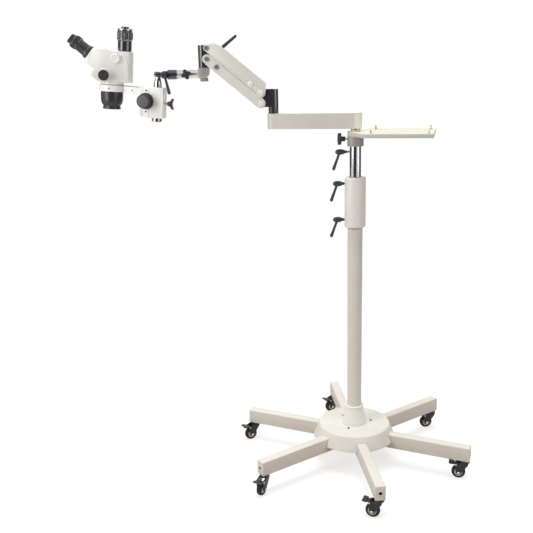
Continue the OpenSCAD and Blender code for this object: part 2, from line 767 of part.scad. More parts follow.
// Balance spring between the two anchors, drawn as its outer envelope with an eye at each end
module balance_spring() {
    far = [anchor_lower - pivot_gap * sin(link_rise), -pivot_gap * cos(link_rise)] - [anchor_upper, 0];
    eye_d = pin_d + 6;
    color(grey) link_frame(elbow_upper) translate([anchor_upper, 0, 0]) difference() {
        union() {
            bar_y(eye_d, -4, 4);
            translate([far[0], 0, far[1]]) bar_y(eye_d, -4, 4);
            rotate([0, -atan2(far[1], far[0]), 0]) bar_x(spring_d, eye_d / 2 - 1, norm(far) - eye_d / 2 + 1);
        }
        bar_y(pin_d - 2 + 2 * run_fit, -10, 10);
        translate([far[0], 0, far[1]]) bar_y(pin_d - 2 + 2 * run_fit, -10, 10);
    }
}
module arm_lock_handle() color(black) link_frame(elbow_upper) translate([link_len - 46, 0, link_crown]) {
    translate([0, 0, -8]) cylinder(d = 8, h = 10);
    cylinder(d1 = 10, d2 = 9, h = 8);
    translate([0, 0, 8]) cylinder(d1 = 9, d2 = 13, h = handle_len - 14);
    translate([0, 0, handle_len - 6]) sphere(d = 13);
}

// Wrist post: it stays upright as the links rise, and its pin carries the swivel block and nut
module wrist_post() color(black) wrist_frame() difference() {
    union() {
        translate([0, 0, wrist_foot]) cylinder(d = post_d, h = wrist_h);
        translate([-wrist_lug, -lug_w / 2, wrist_foot]) cube([wrist_lug, lug_w, wrist_h]);
        translate([0, 0, swivel_foot - swivel_nut_h + 2])
            cylinder(d = swivel_pin_d, h = swivel_h + swivel_nut_h);
    }
    translate([-wrist_in, 0, wrist_upper]) bar_y(pin_d + 2 * run_fit, -post_d, post_d);
    translate([-wrist_in, 0, wrist_lower]) bar_y(pin_d + 2 * open_fit, -post_d, post_d);
}
module swivel_block() color(grey) wrist_frame() difference() {
    union() {
        translate([0, 0, swivel_foot]) plate_y(-20, 20)
            polygon([[-11, 0], [22, 0], [22, swivel_h], [-22, swivel_h], [-22, 16]]);
        translate([0, 0, roll_axis]) bar_x(sleeve_d, 0, sleeve_out);
    }
    translate([0, 0, swivel_foot - cut]) cylinder(d = swivel_pin_d + 2 * run_fit, h = swivel_h + 2 * cut);
    translate([0, 0, roll_axis]) bar_x(shaft_d + 2 * run_fit, swivel_pin_d, sleeve_out + cut);
    translate([roll_knob_out, 0, roll_axis]) bar_y(star_stem_d + 2 * run_fit, 0, sleeve_d);
}
module swivel_nut() color(grey) wrist_frame() translate([0, 0, swivel_foot - swivel_nut_h]) difference() {
    cylinder(d = 30, h = swivel_nut_h);
    translate([0, 0, 2]) cylinder(d = swivel_pin_d + 2 * run_fit, h = swivel_nut_h);
}
module roll_knob() color(black) roll_frame() translate([roll_knob_out, sleeve_d / 2, 0]) rotate([0, 0, 90])
    rotate([20, 0, 0]) star_knob((sleeve_d - shaft_d) / 2 - 0.5, 9, 4, 40, 13);

// Roll shaft, and the barrel that ends in a pair of ears round the tilt axis
module roll_shaft() color(grey) roll_frame() bar_x(shaft_d, swivel_pin_d + 2, barrel_in + 20);
module clamp_barrel() color(black) roll_frame() difference() {
    union() {
        bar_x(barrel_d, barrel_in, barrel_in + barrel_len);
        translate([tilt_out, 0, 0]) {
            bar_y(2 * ear_r, -ear_w, ear_w);
            translate([-ear_r - cut, -ear_w, -ear_r]) cube([ear_r + cut, 2 * ear_w, 2 * ear_r]);
        }
    }
    bar_x(shaft_d + 2 * run_fit, barrel_in - cut, barrel_in + 20);
    translate([tilt_out - ear_r - 0.6, -tongue_w / 2 - 0.3, -barrel_d])
        cube([2 * barrel_d, tongue_w + 0.6, 2 * barrel_d]);
    translate([tilt_out, 0, 0]) bar_y(tilt_bolt_d + 2 * run_fit, -barrel_d, barrel_d);
}
module clamp_lever() color(black) roll_frame() translate([tilt_out, 0, 0]) {
    bar_y(tilt_bolt_d, -ear_w - 1, ear_w + 2);
    bar_y(17, -ear_w - 6, -ear_w - pass_gap);
    bar_y(24, ear_w + pass_gap, ear_w + 14);
    bar_y(15, ear_w + 14, ear_w + tilt_arm_out + 6);
    translate([-5, ear_w + tilt_arm_out, 0]) rotate([0, 180 + 12, 0]) lever_handle(lever_arm);
}

// Drop rod: a tongue between the ears, a cross pin, and the chrome rod that hangs from it
module drop_pin() color(black) drop_frame() difference() {
    union() {
        bar_x(drop_pin_d, ear_r + 1 - rod_out, 10);
        translate([-rod_out, 0, 0]) bar_y(2 * ear_r - 1, -tongue_w / 2, tongue_w / 2);
        translate([-rod_out, -tongue_w / 2, -8]) cube([rod_out, tongue_w, 16]);
    }
    translate([-rod_out, 0, 0]) bar_y(tilt_bolt_d + 2 * run_fit, -barrel_d, barrel_d);
}
module drop_rod() drop_frame() {
    color(chrome) difference() {
        rotate_extrude() polygon([
            [0, -rod_len],
            [rod_d / 2 - 1, -rod_len],
            [rod_d / 2, 1 - rod_len],
            [rod_d / 2, -rod_shoulder],
            [9, -8],
            [9, -4],
            [0, -4]
        ]);
        bar_x(drop_pin_d + 2 * run_fit, -rod_d, rod_d);
    }
    color(chrome) bar_x(drop_cap_d, 10, 16);
    color(black) translate([0, 0, block_foot - 3 - stop_ring_h])
        ring(rod_d + 8, rod_d + 2 * run_fit, stop_ring_h);
}

// Focus mount: the block on the rod, the knobs' shaft across it, and the carriage with the head's arm
module focus_block() color(white) focus_frame() difference() {
    translate([-block_back, -block_w / 2, block_foot]) cube([block_back + block_face, block_w, block_h]);
    translate([0, 0, block_foot - cut]) cylinder(d = rod_d + 2 * run_fit, h = block_h + 2 * cut);
    translate([focus_out, 0, -focus_drop]) {
        bar_y(focus_shaft_d + 2 * run_fit, -block_w, block_w);
        bar_y(2 * pinion_r + 0.5, -7, 7);
        translate([0, -7, -pinion_r - 0.25]) cube([20, 14, 2 * pinion_r + 0.5]);
    }
    translate([0, 0, -focus_drop - wing_drop])
        bar_x(lever_stem_d + 2 * run_fit, -block_back - cut, -rod_d / 2 + cut);
}
module focus_knobs() color(black) focus_frame() translate([focus_out, 0, -focus_drop]) {
    bar_y(focus_shaft_d, -block_w / 2 - 5, block_w / 2 + 5);
    bar_y(2 * pinion_r - 0.4, -6, 6);
    both_sides() {
        bar_y(focus_knob_d, block_w / 2 + pass_gap, block_w / 2 + knob_step);
        bar_y(focus_grip_d, block_w / 2 + knob_step, block_w / 2 + knob_step + knob_grip);
    }
}
module focus_wing() color(black)
    focus_frame() translate([-block_back, 0, -focus_drop - wing_drop]) rotate([0, 0, 180]) {
    bar_x(lever_stem_d, -6, 16);
    bar_x(18, 14, 28);
    translate([24, 0, 0]) plate_y(-4, 4) {
        translate([0, -15]) square([9, 30]);
        for (side = [-1, 1]) translate([5, side * 15]) circle(d = 14);
    }
}
module head_arm() color(white) focus_frame() {
    translate([carriage_in, -carriage_w / 2, carriage_top - carriage_h])
        cube([carriage_t, carriage_w, carriage_h]);
    difference() {
        union() {
            translate([carriage_out, -bar_w / 2, carriage_top - bar_h])
                cube([optical_out - carriage_out - neck_d / 2, bar_w, bar_h]);
            translate([optical_out, 0, ring_foot]) cylinder(d = ring_d, h = ring_h, $fn = 64);
        }
        translate([optical_out, 0, ring_foot - 20])
            cylinder(d = neck_d + 2 * run_fit, h = ring_h + 20 + cut, $fn = 64);
        translate([optical_out, 0, ring_top]) cylinder(d = ring_d + 4, h = 20);
        translate([optical_out, 0, ring_foot - 20]) cylinder(d = ring_d, h = 20);
    }
}

// Head: a housing that narrows from the eyepieces to a round back, and the neck that stands in the ring
module head_side() polygon([
    [-photo_back - head_back_half, 0],
    [44, 0],
    [58, 4.5],
    [76, 17],
    [82, 28],
    [79, 38.5],
    [69, 47],
    seat_low,
    seat_high,
    [55, head_top + 8],
    [20, head_top + 4.5],
    [-2, head_top + 2],
    [-photo_back + photo_d / 2 + 3, head_top],
    [-photo_back - head_back_half, head_top]
]);
module head_plan() {
    translate([-photo_back, 0]) circle(r = head_back_half);
    polygon([
        [-photo_back, -head_back_half],
        [20, -head_half + 5],
        [seat_low[0] - 20, -head_half],
        [seat_low[0], -head_half + 6],
        [seat_low[0] + 5, 0],
        [seat_low[0], head_half - 6],
        [seat_low[0] - 20, head_half],
        [20, head_half - 5],
        [-photo_back, head_back_half]
    ]);
}
module head_shell() intersection() {
    plate_y(-head_half, head_half) head_side();
    linear_extrude(height = 160) head_plan();
}
module eye_places() for (side = [-1, 1]) eye_place(side) children();
module eye_place(side)
    translate([seat_x, side * eye_pitch / 2, seat_z]) rotate([0, 90 - eye_rise, 0]) children();
module head_body() color(white) head_frame() difference() {
    union() {
        head_shell();
        translate([0, 0, seat_gap - neck_flange_h])
            cylinder(d = ring_d - 8, h = neck_flange_h - seat_gap + 5, $fn = 64);
        translate([0, 0, -neck_len]) cylinder(d = neck_d, h = neck_len, $fn = 64);
        translate([zoom_x, 0, zoom_z]) bar_y(50, -zoom_boss_out, zoom_boss_out);
        translate([side_cap_x, 0, side_cap_z]) bar_y(33, -head_back_half - 11, head_back_half + 11);
    }
    translate([-photo_back - 100, -100, -cut]) cube([100, 200, 200]);
    translate([0, 0, -neck_len - cut]) cylinder(d = neck_d - 14, h = neck_len + 60);
    translate([zoom_x, 0, zoom_z]) bar_y(zoom_shaft_d + 2 * run_fit, -head_half - cut, head_half + cut);
    eye_places() translate([0, 0, -eye_stub - 1])
        cylinder(d = eye_stub_d + 2 * run_fit, h = eye_stub + 1 + cut);
}
module head_rear_cover() color(white) head_frame() intersection() {
    translate([-photo_back, 0, 0]) cylinder(r = head_back_half, h = head_top);
    translate([-photo_back - 100, -100, 0]) cube([100, 200, 200]);
}
module zoom_knobs() color(black) head_frame() translate([zoom_x, 0, zoom_z]) {
    bar_y(zoom_shaft_d, -zoom_boss_out - 4, zoom_boss_out + 4);
    both_sides()
        bar_y(zoom_d, zoom_boss_out + pass_gap, zoom_boss_out + zoom_knob_h);
}
module objective_cup() color(black)
    head_frame() translate([0, 0, -neck_len]) rotate_extrude($fn = 64) polygon([
    [neck_d / 2 - 8, 0],
    [cup_d / 2, 0],
    [cup_d / 2, -0.5 * cup_h],
    [cup_d / 2 - 3, -0.65 * cup_h],
    [cup_rim_d / 2 - 1.5, -0.8 * cup_h],
    [cup_rim_d / 2 - 1.5, 8 - cup_h],
    [cup_rim_d / 2, 8 - cup_h],
    [cup_rim_d / 2, -cup_h],
    [cup_rim_d / 2 - 5, -cup_h],
    [cup_rim_d / 2 - 5, -0.8 * cup_h],
    [neck_d / 2 - 8, -0.6 * cup_h]
]);
module objective_lens() color(glass) head_frame() translate([0, 0, -neck_len - cup_h + 3])
    cylinder(d = cup_rim_d - 10 - 0.1, h = 6);

// Photo tube on the flat of the head, bored for a camera adapter
module photo_tube() color(black) head_frame() translate([-photo_back, 0, head_top]) rotate_extrude() polygon([
    [photo_bore_d / 2, 0],
    [photo_d / 2 - 1.5, 0],
    [photo_d / 2 - 1.5, 3],
    [photo_d / 2, 3],
    [photo_d / 2, 39],
    [photo_d / 2 + 3, 46],
    [photo_d / 2 + 3, photo_h - 21],
    [photo_d / 2 + 1.2, photo_h - 18],
    [photo_d / 2 + 1.2, photo_h - 8],
    [photo_bore_d / 2 + 3.2, photo_h - 8],
    [photo_bore_d / 2 + 3.2, photo_h],
    [photo_bore_d / 2, photo_h]
]);

// Eyepieces: a stub in the head, a flange, a slim barrel, the dioptre ring and the eyecup
module eyepiece(side) color(black) head_frame() eye_place(side) rotate_extrude() polygon([
    [0, -eye_stub],
    [eye_stub_d / 2, -eye_stub],
    [eye_stub_d / 2, pass_gap],
    [26, pass_gap],
    [26, 12],
    [23, 15],
    [22, 22],
    [21.5, 48],
    [25.5, 56],
    [25.5, 74],
    [22, 77],
    [18, 80],
    [18, 92],
    [14, 92],
    [12, 86],
    [0, 86]
]);
module eyepiece_left() eyepiece(-1);
module eyepiece_right() eyepiece(1);

base_hub();
hub_screws();
base_legs();
column_tube();
column_boot();
column_collar();
caster_fork(1);  // caster_fork_1
caster_fork(2);  // caster_fork_2
caster_fork(3);  // caster_fork_3
caster_fork(4);  // caster_fork_4
caster_fork(5);  // caster_fork_5
caster_fork(6);  // caster_fork_6
caster_wheel(1);  // caster_wheel_1
caster_wheel(2);  // caster_wheel_2
caster_wheel(3);  // caster_wheel_3
caster_wheel(4);  // caster_wheel_4
caster_wheel(5);  // caster_wheel_5
caster_wheel(6);  // caster_wheel_6
brake_pedal(2);  // brake_pedal_2
brake_pedal(3);  // brake_pedal_3
brake_pedal(4);  // brake_pedal_4
brake_pedal(5);  // brake_pedal_5
brake_pedal(6);  // brake_pedal_6
mast_tube();
mast_lever();
collar_lever_upper();
collar_lever_lower();
tray_plate();
tray_studs();
tray_knob();
boom_arm();
boom_spindle();
elbow_post();
upper_link();
upper_link_pins();
lower_link();
lower_link_pins();
balance_spring();
arm_lock_handle();
wrist_post();
swivel_block();
swivel_nut();
roll_knob();
roll_shaft();
clamp_barrel();
clamp_lever();
drop_pin();
drop_rod();
focus_block();
focus_wing();
focus_knobs();
head_arm();
head_body();
head_rear_cover();
zoom_knobs();
objective_cup();
objective_lens();
photo_tube();
eyepiece_left();
eyepiece_right();
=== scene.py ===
# %% [markdown]
# # A stereo microscope on a rolling floor stand
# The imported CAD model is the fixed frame: it says where every piece is and how it moves.
# This script dresses it. Most pieces are a copy of a solid with its edges eased, or a turned
# profile, and every one gets a finish made from nodes. Sizes are in millimetres until a mesh
# is kept, and only then are they made metres.

import math

import bmesh
import bpy
from mathutils import Matrix, Vector


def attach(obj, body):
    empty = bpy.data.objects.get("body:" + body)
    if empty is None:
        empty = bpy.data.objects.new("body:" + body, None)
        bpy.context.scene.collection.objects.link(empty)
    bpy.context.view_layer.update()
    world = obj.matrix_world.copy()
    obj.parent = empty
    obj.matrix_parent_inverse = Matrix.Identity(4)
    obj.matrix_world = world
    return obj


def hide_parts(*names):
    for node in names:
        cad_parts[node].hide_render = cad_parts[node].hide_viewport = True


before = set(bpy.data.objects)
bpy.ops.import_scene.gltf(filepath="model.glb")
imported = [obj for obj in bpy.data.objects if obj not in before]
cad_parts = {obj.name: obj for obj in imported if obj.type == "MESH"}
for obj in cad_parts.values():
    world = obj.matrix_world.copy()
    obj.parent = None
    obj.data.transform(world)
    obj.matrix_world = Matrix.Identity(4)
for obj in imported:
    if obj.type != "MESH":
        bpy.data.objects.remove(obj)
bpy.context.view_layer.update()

# %% [markdown]
# ## Places along the arm
# The arm is a chain: boom, elbow, links, wrist, roll shaft, drop rod, focus mount, head. Its
# pieces could be drawn where they end up, but then every angle would enter every point.
# Instead each part of the chain has a place of its own, a matrix built on the one before it:
# x points outwards along the arm, y to the near side, and z up. A piece is drawn about its own
# origin and then put there. The same few lengths and angles as in the CAD source give all of
# them.

# %% Lengths and heights of the arm
MM = 0.001
MAST_TOP = 1399.0
BEARING_TALL = 11.0
BOOM_TALL = 60.0
BOOM_REACH = 326.0
PIVOT_OUT = 49.0
PIVOT_LIFT = 40.3
PIVOT_GAP = 41.2
LINK = 270.0
RISE = 40.2
WRIST_SET = 14.0
POST_DROP = 32.6
SWIVEL_TALL = 39.0
ROLL_LIFT = 16.0
TILT_OUT = 156.0
DROP_OUT = 24.0
HEAD_OUT = 189.0
HEAD_DROP = 41.0

BOOM_FOOT = MAST_TOP + BEARING_TALL
BOOM_TOP = BOOM_FOOT + BOOM_TALL
ELBOW_LOW = BOOM_TOP + PIVOT_LIFT
ELBOW_HIGH = ELBOW_LOW + PIVOT_GAP
WRIST_OUT = PIVOT_OUT + LINK * math.cos(math.radians(RISE)) + WRIST_SET
WRIST_LOW = ELBOW_LOW + LINK * math.sin(math.radians(RISE))
SWIVEL_FOOT = WRIST_LOW - POST_DROP - SWIVEL_TALL
ROLL_Z = SWIVEL_FOOT + ROLL_LIFT
print("boom from", BOOM_FOOT, "to", BOOM_TOP, "mm, roll shaft at", round(ROLL_Z, 1), "mm")


# %% Places along the arm
def move(x=0.0, y=0.0, z=0.0):
    return Matrix.Translation(Vector((x, y, z)))


def turn(degrees, axis):
    return Matrix.Rotation(math.radians(degrees), 4, axis)


ELBOW_TURN, DROP_TILT, FOCUS_TURN, HEAD_TURN = 14.0, -5.0, -11.0, 18.0
LEVER_BEARING = 194.0

boom_place = turn(180, "Z")
elbow_place = boom_place @ move(BOOM_REACH) @ turn(ELBOW_TURN, "Z")
upper_place = elbow_place @ move(PIVOT_OUT, 0, ELBOW_HIGH) @ turn(-RISE, "Y")
lower_place = elbow_place @ move(PIVOT_OUT, 0, ELBOW_LOW) @ turn(-RISE, "Y")
wrist_place = elbow_place @ move(WRIST_OUT)
roll_place = wrist_place @ move(0, 0, ROLL_Z)
tilt_place = roll_place @ move(TILT_OUT)
drop_place = tilt_place @ turn(DROP_TILT, "Y") @ move(DROP_OUT)
focus_place = drop_place @ turn(FOCUS_TURN, "Z")
head_place = focus_place @ move(HEAD_OUT, 0, -HEAD_DROP) @ turn(HEAD_TURN, "Z")
lever_side = turn(LEVER_BEARING, "Z")
print("head at", [round(v) for v in head_place.translation], "mm")

# %% [markdown]
# ## Places round the base
# Six legs stand at equal angles, and a caster hangs near the end of each. Real casters trail
# wherever they were last pushed, so each one has its own bearing. Two small functions give the
# place of a leg or a caster from its number, and loops do the rest.

# %% Places round the base
LEGS = 6
LEG_STEP = 360 / LEGS
LEG_TURN = 48.85
LEG_REACH = 494.0
LEG_MID = 111.0
CASTER_SET_IN = 20.0
WHEEL_R = 28.0
TRAIL = 24.0
TRAIL_BEARINGS = (204, 222, 222, 254, 172, 179)


def leg_place(k):
    return turn(LEG_TURN + LEG_STEP * k, "Z")


def caster_place(n):
    from_leg = TRAIL_BEARINGS[n - 1] - LEG_TURN - LEG_STEP * (n - 1)
    return leg_place(n - 1) @ move(LEG_REACH - CASTER_SET_IN) @ turn(from_leg, "Z")


print("caster 1 at", [round(v) for v in caster_place(1).translation], "mm")

# %% [markdown]
# ## Camera
# The photograph was taken from about the height of the arm, looking down on the base, with a
# slight roll. A camera could be aimed at a target by a constraint. This one was fitted to the
# photograph instead, so its place is written as one matrix and nothing has to be aimed.

# %% Camera
SENSOR = 36.0
FRAME_PX, FOCAL_PX = 533.0, 778.87
CAMERA_AT = (0.39270, -3.06277, 1.6698)
BEARING, PITCH, ROLL = 14.0, 14.74, -1.43
FAR_END = 60.0
camera_data = bpy.data.cameras.new("photo_camera")
camera_data.sensor_width = SENSOR
camera_data.lens = FOCAL_PX / FRAME_PX * SENSOR
camera_data.clip_end = FAR_END
camera = bpy.data.objects.new("photo_camera", camera_data)
bpy.context.scene.collection.objects.link(camera)
level_view = turn(BEARING, "Z") @ turn(90 - PITCH, "X")
camera.matrix_world = Matrix.Translation(CAMERA_AT) @ level_view @ turn(ROLL, "Z")
bpy.context.scene.camera = camera
bpy.context.scene.view_settings.view_transform = "Standard"
print("lens", round(camera_data.lens, 2), "mm")


# %% [markdown]
# ## Finishes
# A painted casting is never one flat colour. An image could be wrapped round it, but a pattern
# made by nodes needs no file and no unwrapping. Each finish is one Principled shader with a
# slow noise that drifts its tone, and a fine noise that varies its roughness and gives a slight
# relief: orange peel on enamel, grain on moulded plastic, drawing lines on chrome. The patterns
# read Object coordinates, which are metres on the part, so their scale is the real one on every
# piece.

# %% A helper for nodes
def node(tree, kind, x, y, **values):
    """A new node at (x, y) in the editor, with the named inputs set."""
    made = tree.nodes.new(kind)
    made.location = (x, y)
    for name, value in values.items():
        made.inputs[name].default_value = value
    return made


# %% Finish builder
NOISE_LOW, NOISE_HIGH = 0.3, 0.7
SMOOTHEST = 0.02
BUMP_STRENGTH = 0.6


def finish(name, colour, rough, metallic=0.0, drift=0.05, drift_scale=14.0, rough_swing=0.06,
           grain=900.0, relief=0.00004, stretch=(1, 1, 1), coat=0.0, mirror=0.5):
    """Slow noise drifts the colour. Fine noise swings the roughness and makes the relief."""
    made = bpy.data.materials.new(name)
    made.use_nodes = True
    tree = made.node_tree
    shader = tree.nodes["Principled BSDF"]
    shader.inputs["Metallic"].default_value = metallic
    shader.inputs["Coat Weight"].default_value = coat
    shader.inputs["Specular IOR Level"].default_value = mirror
    place = node(tree, "ShaderNodeTexCoord", -1200, 0)
    mapping = node(tree, "ShaderNodeMapping", -1000, 0, Scale=stretch)
    slow = node(tree, "ShaderNodeTexNoise", -800, 200, Scale=drift_scale, Detail=4.0)
    fine = node(tree, "ShaderNodeTexNoise", -800, -200, Scale=grain, Detail=3.0)
    tone = node(tree, "ShaderNodeValToRGB", -500, 250)
    for stop, swing in zip(tone.color_ramp.elements, (1 - drift, 1 + drift)):
        stop.color = (*[min(1.0, c * swing) for c in colour], 1.0)
    tone.color_ramp.elements[0].position = NOISE_LOW
    tone.color_ramp.elements[1].position = NOISE_HIGH
    gloss = node(tree, "ShaderNodeMapRange", -500, 0)
    gloss.inputs["From Min"].default_value = NOISE_LOW
    gloss.inputs["From Max"].default_value = NOISE_HIGH
    gloss.inputs["To Min"].default_value = max(SMOOTHEST, rough - rough_swing)
    gloss.inputs["To Max"].default_value = min(1.0, rough + rough_swing)
    bump = node(tree, "ShaderNodeBump", -250, -200, Strength=BUMP_STRENGTH, Distance=relief)
    link = tree.links.new
    link(place.outputs["Object"], mapping.inputs["Vector"])
    link(place.outputs["Object"], slow.inputs["Vector"])
    link(mapping.outputs["Vector"], fine.inputs["Vector"])
    link(slow.outputs["Fac"], tone.inputs["Fac"])
    link(tone.outputs["Color"], shader.inputs["Base Color"])
    link(fine.outputs["Fac"], gloss.inputs["Value"])
    link(gloss.outputs["Result"], shader.inputs["Roughness"])
    link(fine.outputs["Fac"], bump.inputs["Height"])
    link(bump.outputs["Normal"], shader.inputs["Normal"])
    return made


# %% [markdown]
# ### Paints
# The stand is sprayed in warm greys that are near white, and no two of its parts quite match:
# the tray is yellower and duller than the head. One enamel for all of them would look like a
# toy, so each batch of parts has its own colour and gloss. The legs carry the frame's paint made
# darker and warmer, which paints the shade and the warm floor bounce on their sides. The black
# enamel of the posts has a clear coat, which gives it the long, sharp highlights of the real ones.

# %% Pale enamels
frame_enamel = finish("frame_enamel", (0.76, 0.75, 0.68), 0.46, drift=0.025, grain=700,
                      relief=0.00006, mirror=0.25)
# Painted shade: the legs' paint is darker and warmer than the frame's, for the shade and floor bounce on
# their sides.
leg_enamel_painted_shade = finish("leg_enamel_painted_shade", (0.73, 0.70, 0.635), 0.48, drift=0.025, grain=700,
                    relief=0.00006, mirror=0.2)
tray_enamel = finish("tray_enamel", (0.66, 0.66, 0.58), 0.50, drift=0.025, grain=700,
                     relief=0.00006, mirror=0.15)
cast_enamel = finish("cast_enamel", (0.71, 0.70, 0.635), 0.40, drift=0.03, grain=600, relief=0.00008)
light_enamel = finish("light_enamel", (0.90, 0.90, 0.84), 0.38, drift=0.02, grain=700, relief=0.00005)
link_enamel = finish("link_enamel", (0.83, 0.835, 0.765), 0.38, drift=0.02, grain=700, relief=0.00005)
end_cap_cream = finish("end_cap_cream", (0.90, 0.885, 0.76), 0.40, drift=0.02, grain=700,
                       relief=0.00005)
mount_enamel = finish("mount_enamel", (0.95, 0.955, 0.93), 0.34, drift=0.02, grain=800, relief=0.00004)
head_enamel = finish("head_enamel", (0.93, 0.94, 0.90), 0.30, drift=0.015, grain=900, relief=0.00003)
print("pale enamels made,", len(bpy.data.materials), "materials so far")

# %% [markdown]
# The forks are painted thinner than the posts and mirror less. Two greys paint shade. The darker
# one marks the dark seams of the slide and a line along each top edge of the bar, and paints the
# shadow gap under the head's flange. The lighter one paints the shade on the tray's collar and a
# shadow ring under the clamp collar.

# %% Dark paints and greys
black_enamel = finish("black_enamel", (0.030, 0.028, 0.040), 0.24, drift=0.15, grain=1200,
                      relief=0.00002, coat=0.8)
fork_enamel = finish("fork_enamel", (0.014, 0.012, 0.013), 0.30, drift=0.15, grain=1200,
                     relief=0.00003, mirror=0.35)
# This grey is partly the real dark seams and partly painted shadow, as in the gap under the head's flange.
seam_and_shadow_grey = finish("seam_and_shadow_grey", (0.30, 0.30, 0.29), 0.55, drift=0.06, grain=1200, relief=0.00003)
# Painted shade: this grey darkens the tray's collar and paints a shadow ring under the clamp collar.
painted_shade_grey = finish("painted_shade_grey", (0.40, 0.385, 0.36), 0.42, drift=0.05, grain=900, relief=0.00005)
print("dark paints made,", len(bpy.data.materials), "materials so far")

# %% [markdown]
# ### Plastics and rubber
# Levers and knobs are moulded black plastic with a fine spark-eroded grain, so their relief is
# small and their grain is close. Rubber is rougher and mirrors less. None of them is pure black:
# the light they scatter is what shows their shape.

# %% Plastics and rubber
boot_moulding = finish("boot_moulding", (0.90, 0.90, 0.835), 0.45, drift=0.02, grain=1400,
                       relief=0.00004)
cap_white = finish("cap_white", (0.94, 0.94, 0.92), 0.35, drift=0.02, grain=1500, relief=0.00002)
black_moulding = finish("black_moulding", (0.027, 0.026, 0.031), 0.46, drift=0.18, grain=2600,
                        relief=0.00005)
knob_face = finish("knob_face", (0.105, 0.096, 0.110), 0.58, drift=0.10, grain=2600, relief=0.00006)
hub_nylon = finish("hub_nylon", (0.66, 0.64, 0.60), 0.45, drift=0.06, grain=1500, relief=0.00003)
tread_rubber = finish("tread_rubber", (0.014, 0.013, 0.014), 0.62, drift=0.2, grain=1800,
                      relief=0.00006, mirror=0.3)
eyecup_rubber = finish("eyecup_rubber", (0.02, 0.02, 0.021), 0.6, drift=0.15, grain=2200,
                       relief=0.00005)
print("plastics and rubber made,", len(bpy.data.materials), "materials so far")

# %% [markdown]
# ### Metals
# A metal shows its surroundings, so its roughness matters more than its colour. Chrome on the
# mast is drawn tube: its noise is stretched along z, which leaves faint lines that run up it.
# Anodised barrels are black, but the metal under the dye still shows in their highlights.

# %% Metals
polished_chrome = finish("polished_chrome", (0.50, 0.485, 0.478), 0.13, metallic=1.0, drift=0.03,
                         rough_swing=0.03, grain=60, relief=0.000004, stretch=(1, 1, 0.04))
dark_chrome = finish("dark_chrome", (0.30, 0.29, 0.29), 0.14, metallic=1.0, drift=0.06, grain=600,
                     relief=0.00001)
turned_steel = finish("turned_steel", (0.55, 0.55, 0.55), 0.28, metallic=1.0, drift=0.05, grain=1500,
                      relief=0.00001)
turned_brass = finish("turned_brass", (0.70, 0.50, 0.20), 0.28, metallic=1.0, drift=0.08, grain=1200,
                      relief=0.00001)
machined_aluminium = finish("machined_aluminium", (0.66, 0.645, 0.615), 0.42, metallic=1.0, drift=0.05,
                            grain=900, relief=0.00002)
bolt_grey = finish("bolt_grey", (0.30, 0.295, 0.30), 0.45, metallic=0.4, drift=0.12, grain=1800,
                   relief=0.00003)
barrel_anodised = finish("barrel_anodised", (0.036, 0.034, 0.041), 0.36, metallic=0.3, drift=0.1,
                         grain=2400, relief=0.00003)
barrel_gloss = finish("barrel_gloss", (0.030, 0.028, 0.036), 0.2, drift=0.1, grain=2400,
                      relief=0.00002, coat=1.0)
print("metals made,", len(bpy.data.materials), "materials so far")

# %% [markdown]
# ### Coated glass
# Coated glass is dark from most sides, with a faint coloured sheen where it mirrors the room.
# It could be a clear glass with bent rays. But a lens of this kind has nothing behind it except
# more black barrel, so a dark gloss under a thin coat of colour looks right and renders faster.

# %% Coated glass
COAT_BLUE = (0.55, 0.6, 1.0, 1.0)
coated_glass = finish("coated_glass", (0.02, 0.03, 0.06), 0.05, drift=0.4, drift_scale=30,
                      rough_swing=0.02, grain=50, relief=0.000001, coat=1.0)
coated_glass.node_tree.nodes["Principled BSDF"].inputs["Coat Tint"].default_value = COAT_BLUE
print(len(bpy.data.materials), "materials in all")

# %% [markdown]
# ## Keeping a piece
# Every mesh ends the same way: doubles are merged, faces are turned outwards, millimetres
# become metres, and the piece is tied to the body that carries it. One function does this for
# all of them, so no piece can miss a step, and it prints what it kept.

# %% Keep a piece
SAME_POINT = 0.0005


def keep(bm, name, body, material, place=None, stands_for=(), smooth=38.0):
    """Turn a bmesh in a place's millimetres into a finished piece that rides on a body."""
    bmesh.ops.remove_doubles(bm, verts=bm.verts, dist=SAME_POINT)
    bmesh.ops.recalc_face_normals(bm, faces=bm.faces)
    bm.transform(Matrix.Scale(MM, 4) @ (place or Matrix()))
    mesh = bpy.data.meshes.new(name)
    bm.to_mesh(mesh)
    bm.free()
    mesh.shade_smooth()
    mesh.set_sharp_from_angle(angle=math.radians(smooth))
    mesh.materials.append(material)
    piece = bpy.data.objects.new(name, mesh)
    bpy.context.scene.collection.objects.link(piece)
    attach(piece, body)
    if stands_for:
        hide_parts(*stands_for)
    print("kept", name, "on", body, "with", len(mesh.polygons), "faces")
    return piece


def show(what, bm):
    """Say how many faces a trial mesh has, and let go of it."""
    print(what, "has", len(bm.faces), "faces")
    bm.free()


# %% [markdown]
# Many pieces are made of a few simple shapes that stay together: a knob is a grip, a boss and a
# face. They could be three objects with a parent. One mesh is easier to carry, so a helper puts
# each shape in its place and joins them.

# %% Joining meshes
def joined(*parts):
    """One mesh from several, each with its own place: (bmesh, place)."""
    whole = bmesh.new()
    for part, place in parts:
        part.transform(place)
        scratch = bpy.data.meshes.new("scratch")
        part.to_mesh(scratch)
        part.free()
        whole.from_mesh(scratch)
        bpy.data.meshes.remove(scratch)
    return whole


# %% [markdown]
# ## Turned shapes
# Columns, knobs, barrels and eyepieces are turned on a lathe. A Screw modifier could spin a
# curve, but here a short function does it, because the radius may then also change with the
# angle, as on a star knob. Real turned edges are never sharp, so each corner of the profile is
# first rounded a little with a quadratic curve.

# %% Rounded outlines
NO_LENGTH = 1e-6
NEARLY_STRAIGHT = 3.05
EDGE_SHARE = 0.45


